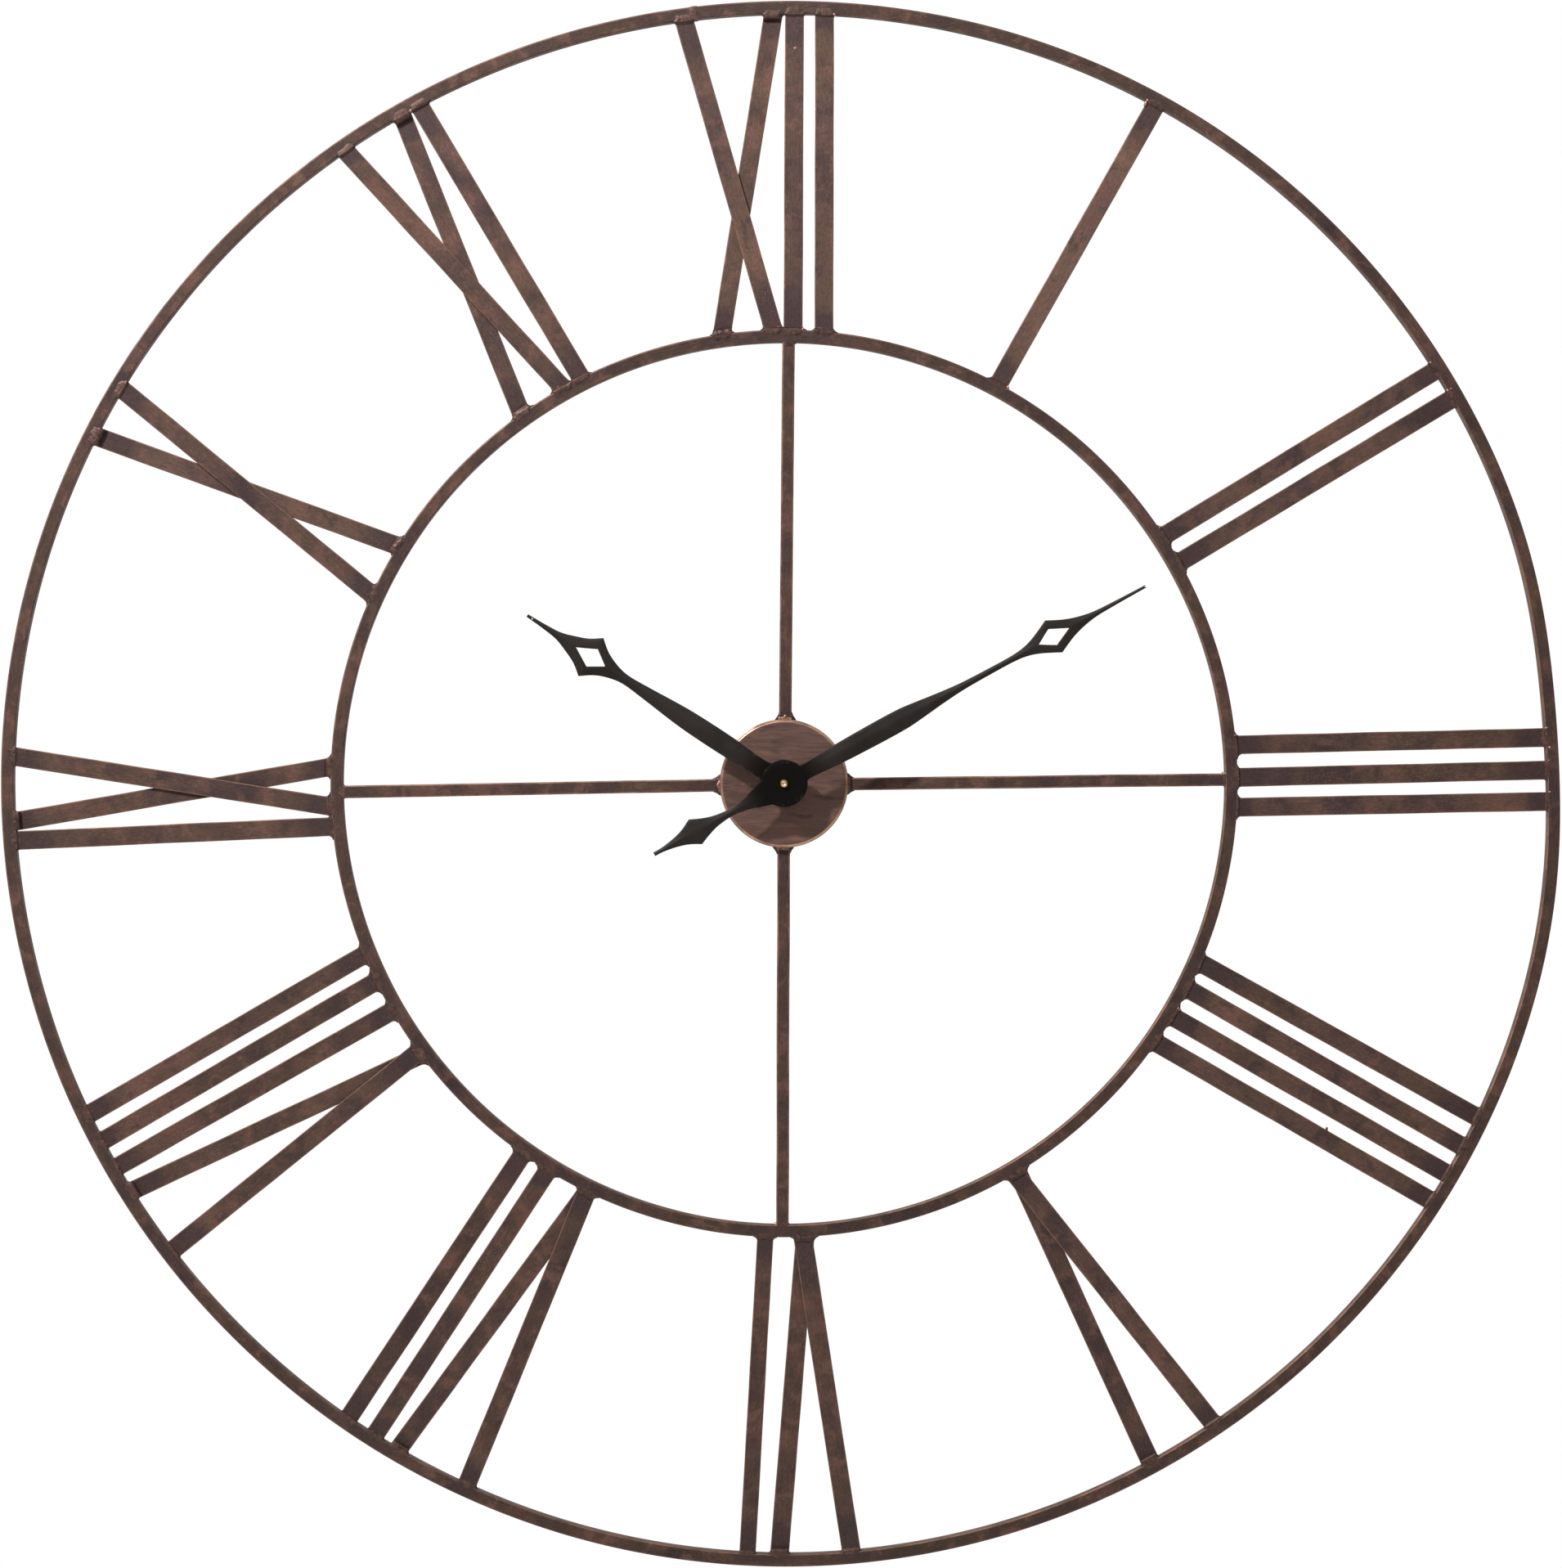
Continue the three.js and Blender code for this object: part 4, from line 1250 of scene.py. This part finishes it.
handPress = {
    "spacing": 2.2 * mm,
    "columns": 4,
    "ridge": 0.9 * mm,  # height of the pressed fold along the middle
    "bossClear": 25 * mm,  # the fold dies out before the boss
    "foldRun": 22 * mm,  # and takes this far to rise
    "fullFold": 4 * mm,  # half width from which the fold is at its full height
    "handled": (44 * mm, 26 * mm),  # where the painted shade round the boss ends, and how softly
    "trim": 0.02 * mm,  # off the very points
    "edge": 0.16 * mm,
}
hourEye = {"fromTip": 4.6 * mm, "radius": 0.62 * mm}  # pin hole near the hour hand's point
minuteNick = {"length": 2.2 * mm, "half": 0.55 * mm}  # split point of the minute hand


def handOutline(nodeName):
    # the front face's edges in the hand's own plane, each end as (along it, across it)
    mesh = cad[nodeName].data
    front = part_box(nodeName)[0].y
    spots = {}
    for vert in mesh.vertices:
        if abs(vert.co.y - front) < 0.01 * mm:
            spots[vert.index] = Vector((vert.co.x - dialCentre.x, vert.co.z - dialCentre.z))
    tip = max(spots.values(), key=lambda p: p.length)
    along = tip.normalized()
    aside = Vector((along.y, -along.x))
    counts = {}
    for face in mesh.polygons:
        if face.normal.y > -0.9:
            continue  # not on the front
        corners = [spots[i] for i in face.vertices]
        for first, second in zip(corners, corners[1:] + corners[:1]):
            key = tuple(sorted([(round(p.x, 6), round(p.y, 6)) for p in (first, second)]))
            counts[key] = counts.get(key, 0) + 1
    rim = [tuple(Vector(p) for p in key) for key, used in counts.items() if used == 1]
    # the middle line runs through the point's middle, so that both halves match
    point = [p.dot(aside) for edge in rim for p in edge if p.dot(along) > tip.length - 0.5 * mm]
    lean = math.atan2(sum(point) / len(point), tip.length)
    along.rotate(Matrix.Rotation(-lean, 2))
    aside = Vector((along.y, -along.x))
    edges = [[(p.dot(along), p.dot(aside)) for p in edge] for edge in rim]
    return edges, along, aside, front


def crossings(edges, s):
    # where the outline is crossed, from left to right, at a distance along the hand
    found = []
    for (s0, t0), (s1, t1) in edges:
        if (s0 <= s) != (s1 <= s):
            found.append(t0 + (t1 - t0) * (s - s0) / (s1 - s0))
    return sorted(found)


def handStations(edges, low, high, eye, nick):
    # evenly spaced, and also at the corners of the shoulders, the window, the eye and the nick
    trim = handPress["trim"]
    stations = {high - trim}
    place = low + trim
    while place < high - trim:
        stations.add(place)
        place += handPress["spacing"]
    for edge in edges:
        stations.update(s + 0.004 * mm for s, t in edge if low + 0.1 * mm < s < high - 0.1 * mm)
    if eye:
        for step in range(9):
            stations.add(high - eye["fromTip"] + eye["radius"] * math.cos(math.pi * step / 8))
    if nick:
        stations.update(high - nick["length"] * share for share in (0.25, 0.5, 0.75, 1.0))
    stations = sorted(round(s, 6) for s in stations)
    kept = stations[:1]
    for s in stations[1:]:
        if s - kept[-1] > 0.05 * mm:
            kept.append(s)
    return kept


def handWidths(edges, s, high, eye, nick):
    # half widths of the hole and of the hand at a distance along it
    cuts = crossings(edges, s)
    inner = abs(cuts[len(cuts) // 2]) if len(cuts) >= 4 else 0.0
    outer = (cuts[-1] - cuts[0]) / 2
    if eye:
        fromEye = s - high + eye["fromTip"]
        inner = max(inner, math.sqrt(max(0, eye["radius"] ** 2 - fromEye ** 2)))
    if nick:
        inner = max(inner, nick["half"] * (s - high + nick["length"]) / nick["length"])
    return min(inner, outer * 0.8), outer


def buildHand(nodeName, body, eye=None, nick=None):
    edges, along, aside, front = handOutline(nodeName)
    ends = [s for edge in edges for s, t in edge]
    low, high = min(ends), max(ends)
    axis = Vector((dialCentre.x, 0, dialCentre.z))
    columns = handPress["columns"]
    bossShadeEnd, bossShadeBlend = handPress["handled"]
    bm = bmesh.new()
    arris = bm.verts.layers.float.new("arris")
    handled = bm.verts.layers.float.new("handled")
    rows = {-1: [], 1: []}
    for s in handStations(edges, low, high, eye, nick):
        inner, outer = handWidths(edges, s, high, eye, nick)
        hollow = inner / outer
        rise = handPress["ridge"] * clamp((abs(s) - handPress["bossClear"]) / handPress["foldRun"])
        rise *= min(1, outer / handPress["fullFold"]) ** 0.7
        for side in (-1, 1):
            row = []
            for k in range(columns + 1):
                share = k / columns
                t = side * (inner + (outer - inner) * share)
                fold = (1 - share) * (1 - hollow) + (1 - abs(2 * share - 1)) * hollow * 0.5
                spot = axis + Vector((along.x * s + aside.x * t, 0, along.y * s + aside.y * t))
                spot.y = front - rise * fold
                vert = bm.verts.new(spot)
                vert[arris] = 1.0 if k == columns or (k == 0 and inner > 0.1 * mm) else 0.0
                # painted shade round the boss
                vert[handled] = clamp((bossShadeEnd - abs(s)) / bossShadeBlend)
                row.append(vert)
            rows[side].append(row)
    for side in (-1, 1):
        for first, second in zip(rows[side], rows[side][1:]):
            for k in range(columns):
                corners = (first[k], first[k + 1], second[k + 1], second[k])
                bm.faces.new(corners if side > 0 else tuple(reversed(corners)))
    bmesh.ops.remove_doubles(bm, verts=bm.verts, dist=0.008 * mm)
    bmesh.ops.recalc_face_normals(bm, faces=bm.faces)
    if sum(face.normal.y for face in bm.faces) > 0:
        bmesh.ops.reverse_faces(bm, faces=bm.faces)
    mesh = finishMesh(bm, nodeName)
    stands = [nodeName]
    piece = addPiece(nodeName + "_pressed", mesh, finish["hand"], body, stands, smoothAngle=30)
    sheet = piece.modifiers.new("sheet", "SOLIDIFY")
    sheet.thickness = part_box(nodeName)[1].y - front
    sheet.offset = -1
    breakEdges(piece, "worn", handPress["edge"], 50)


buildHand("hour_hand", "hour", eye=hourEye)
buildHand("minute_hand", "minute", nick=minuteNick)
print("hands pressed")


capNut = {
    "rim": 0.5 * mm,
    "dimple": 0.35 * mm,
    "socket": 1.5 * mm,  # how far the bore goes in from the back
    "segments": 64,
}


def buildCap():
    # a domed nut with a turned dimple in its front
    low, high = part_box("minute_cap_nut")
    radius = (high.x - low.x) / 2
    front, back = -low.y, -high.y
    dimple, socket = capNut["dimple"], back + capNut["socket"]
    profile = [(0, front - dimple), (radius * 0.22, front - dimple * 0.7), (radius * 0.34, front - 0.05 * mm)]
    for step in range(1, 10):
        turn = math.radians(20 + 70 * step / 9)
        profile.append((radius * math.sin(turn), front - radius + radius * math.cos(turn)))
    profile += [(radius, back + capNut["rim"]), (radius * 0.93, back)]
    profile += [(radius * 0.5, back), (radius * 0.5, socket), (0, socket)]
    mesh = latheMesh(profile, capNut["segments"], "minute_cap_nut")
    addPiece("minute_cap_turned", mesh, finish["brass"], "minute", ["minute_cap_nut"])


buildCap()
print("cap nut turned")


# nodes shown as they are: their finish, and how far their edges are broken, in mm
keptPieces = {
    "hanger_bridge": ("dullSteel", 0.25),
    "movement_case": ("blackPlastic", 0.35),
    "movement_cover": ("blackPlastic", 0.3),
    "battery_cell": ("battery", 0.3),
    "battery_contact_plus": ("steel", 0.08),
    "battery_contact_minus": ("steel", 0.08),
    "drive_coil": ("copper", 0.15),
    "motion_wheel": ("palePlastic", 0.06),
    "setting_knob": ("palePlastic", 0.12),
    "hour_wheel": ("palePlastic", 0.06),
    "minute_arbor": ("steel", 0.1),
    "rubber_washer": ("rubber", 0.2),
    "brass_washer": ("brass", 0.12),
    "mounting_nut": ("brass", 0.25),
}


def dressKept():
    for name, (finishName, edge) in keptPieces.items():
        piece = cad[name]
        for place in piece.material_slots:
            place.material = finish[finishName]
        breakEdges(piece, "edge", edge * mm, 35).harden_normals = True


dressKept()
print("kept pieces dressed:", len(keptPieces))


def buildFloor():
    level = dialCentre.z - studio["floorDrop"]
    reach, steps = studio["floorReach"], studio["floorSteps"]
    places = [reach * (2 * i / steps - 1) for i in range(steps + 1)]
    bm = bmesh.new()
    rows = [[bm.verts.new((x, y, level)) for x in places] for y in places]
    for first, second in zip(rows, rows[1:]):
        for k in range(steps):
            bm.faces.new((first[k], first[k + 1], second[k + 1], second[k]))
    mesh = finishMesh(bm, "floor")
    material, tree, shader = startFinish("paleFloor", Roughness=0.9)
    faint = cloud(tree, placeOn(tree), 3, 3, 0.5)
    pale = ramp(tree, faint, [(0.3, srgb(238, 237, 235)), (0.7, srgb(243, 242, 240))])
    tree.links.new(pale, shader.inputs["Base Color"])
    mesh.materials.append(material)
    floor = addToScene("floor", mesh)


buildFloor()
print("floor laid")
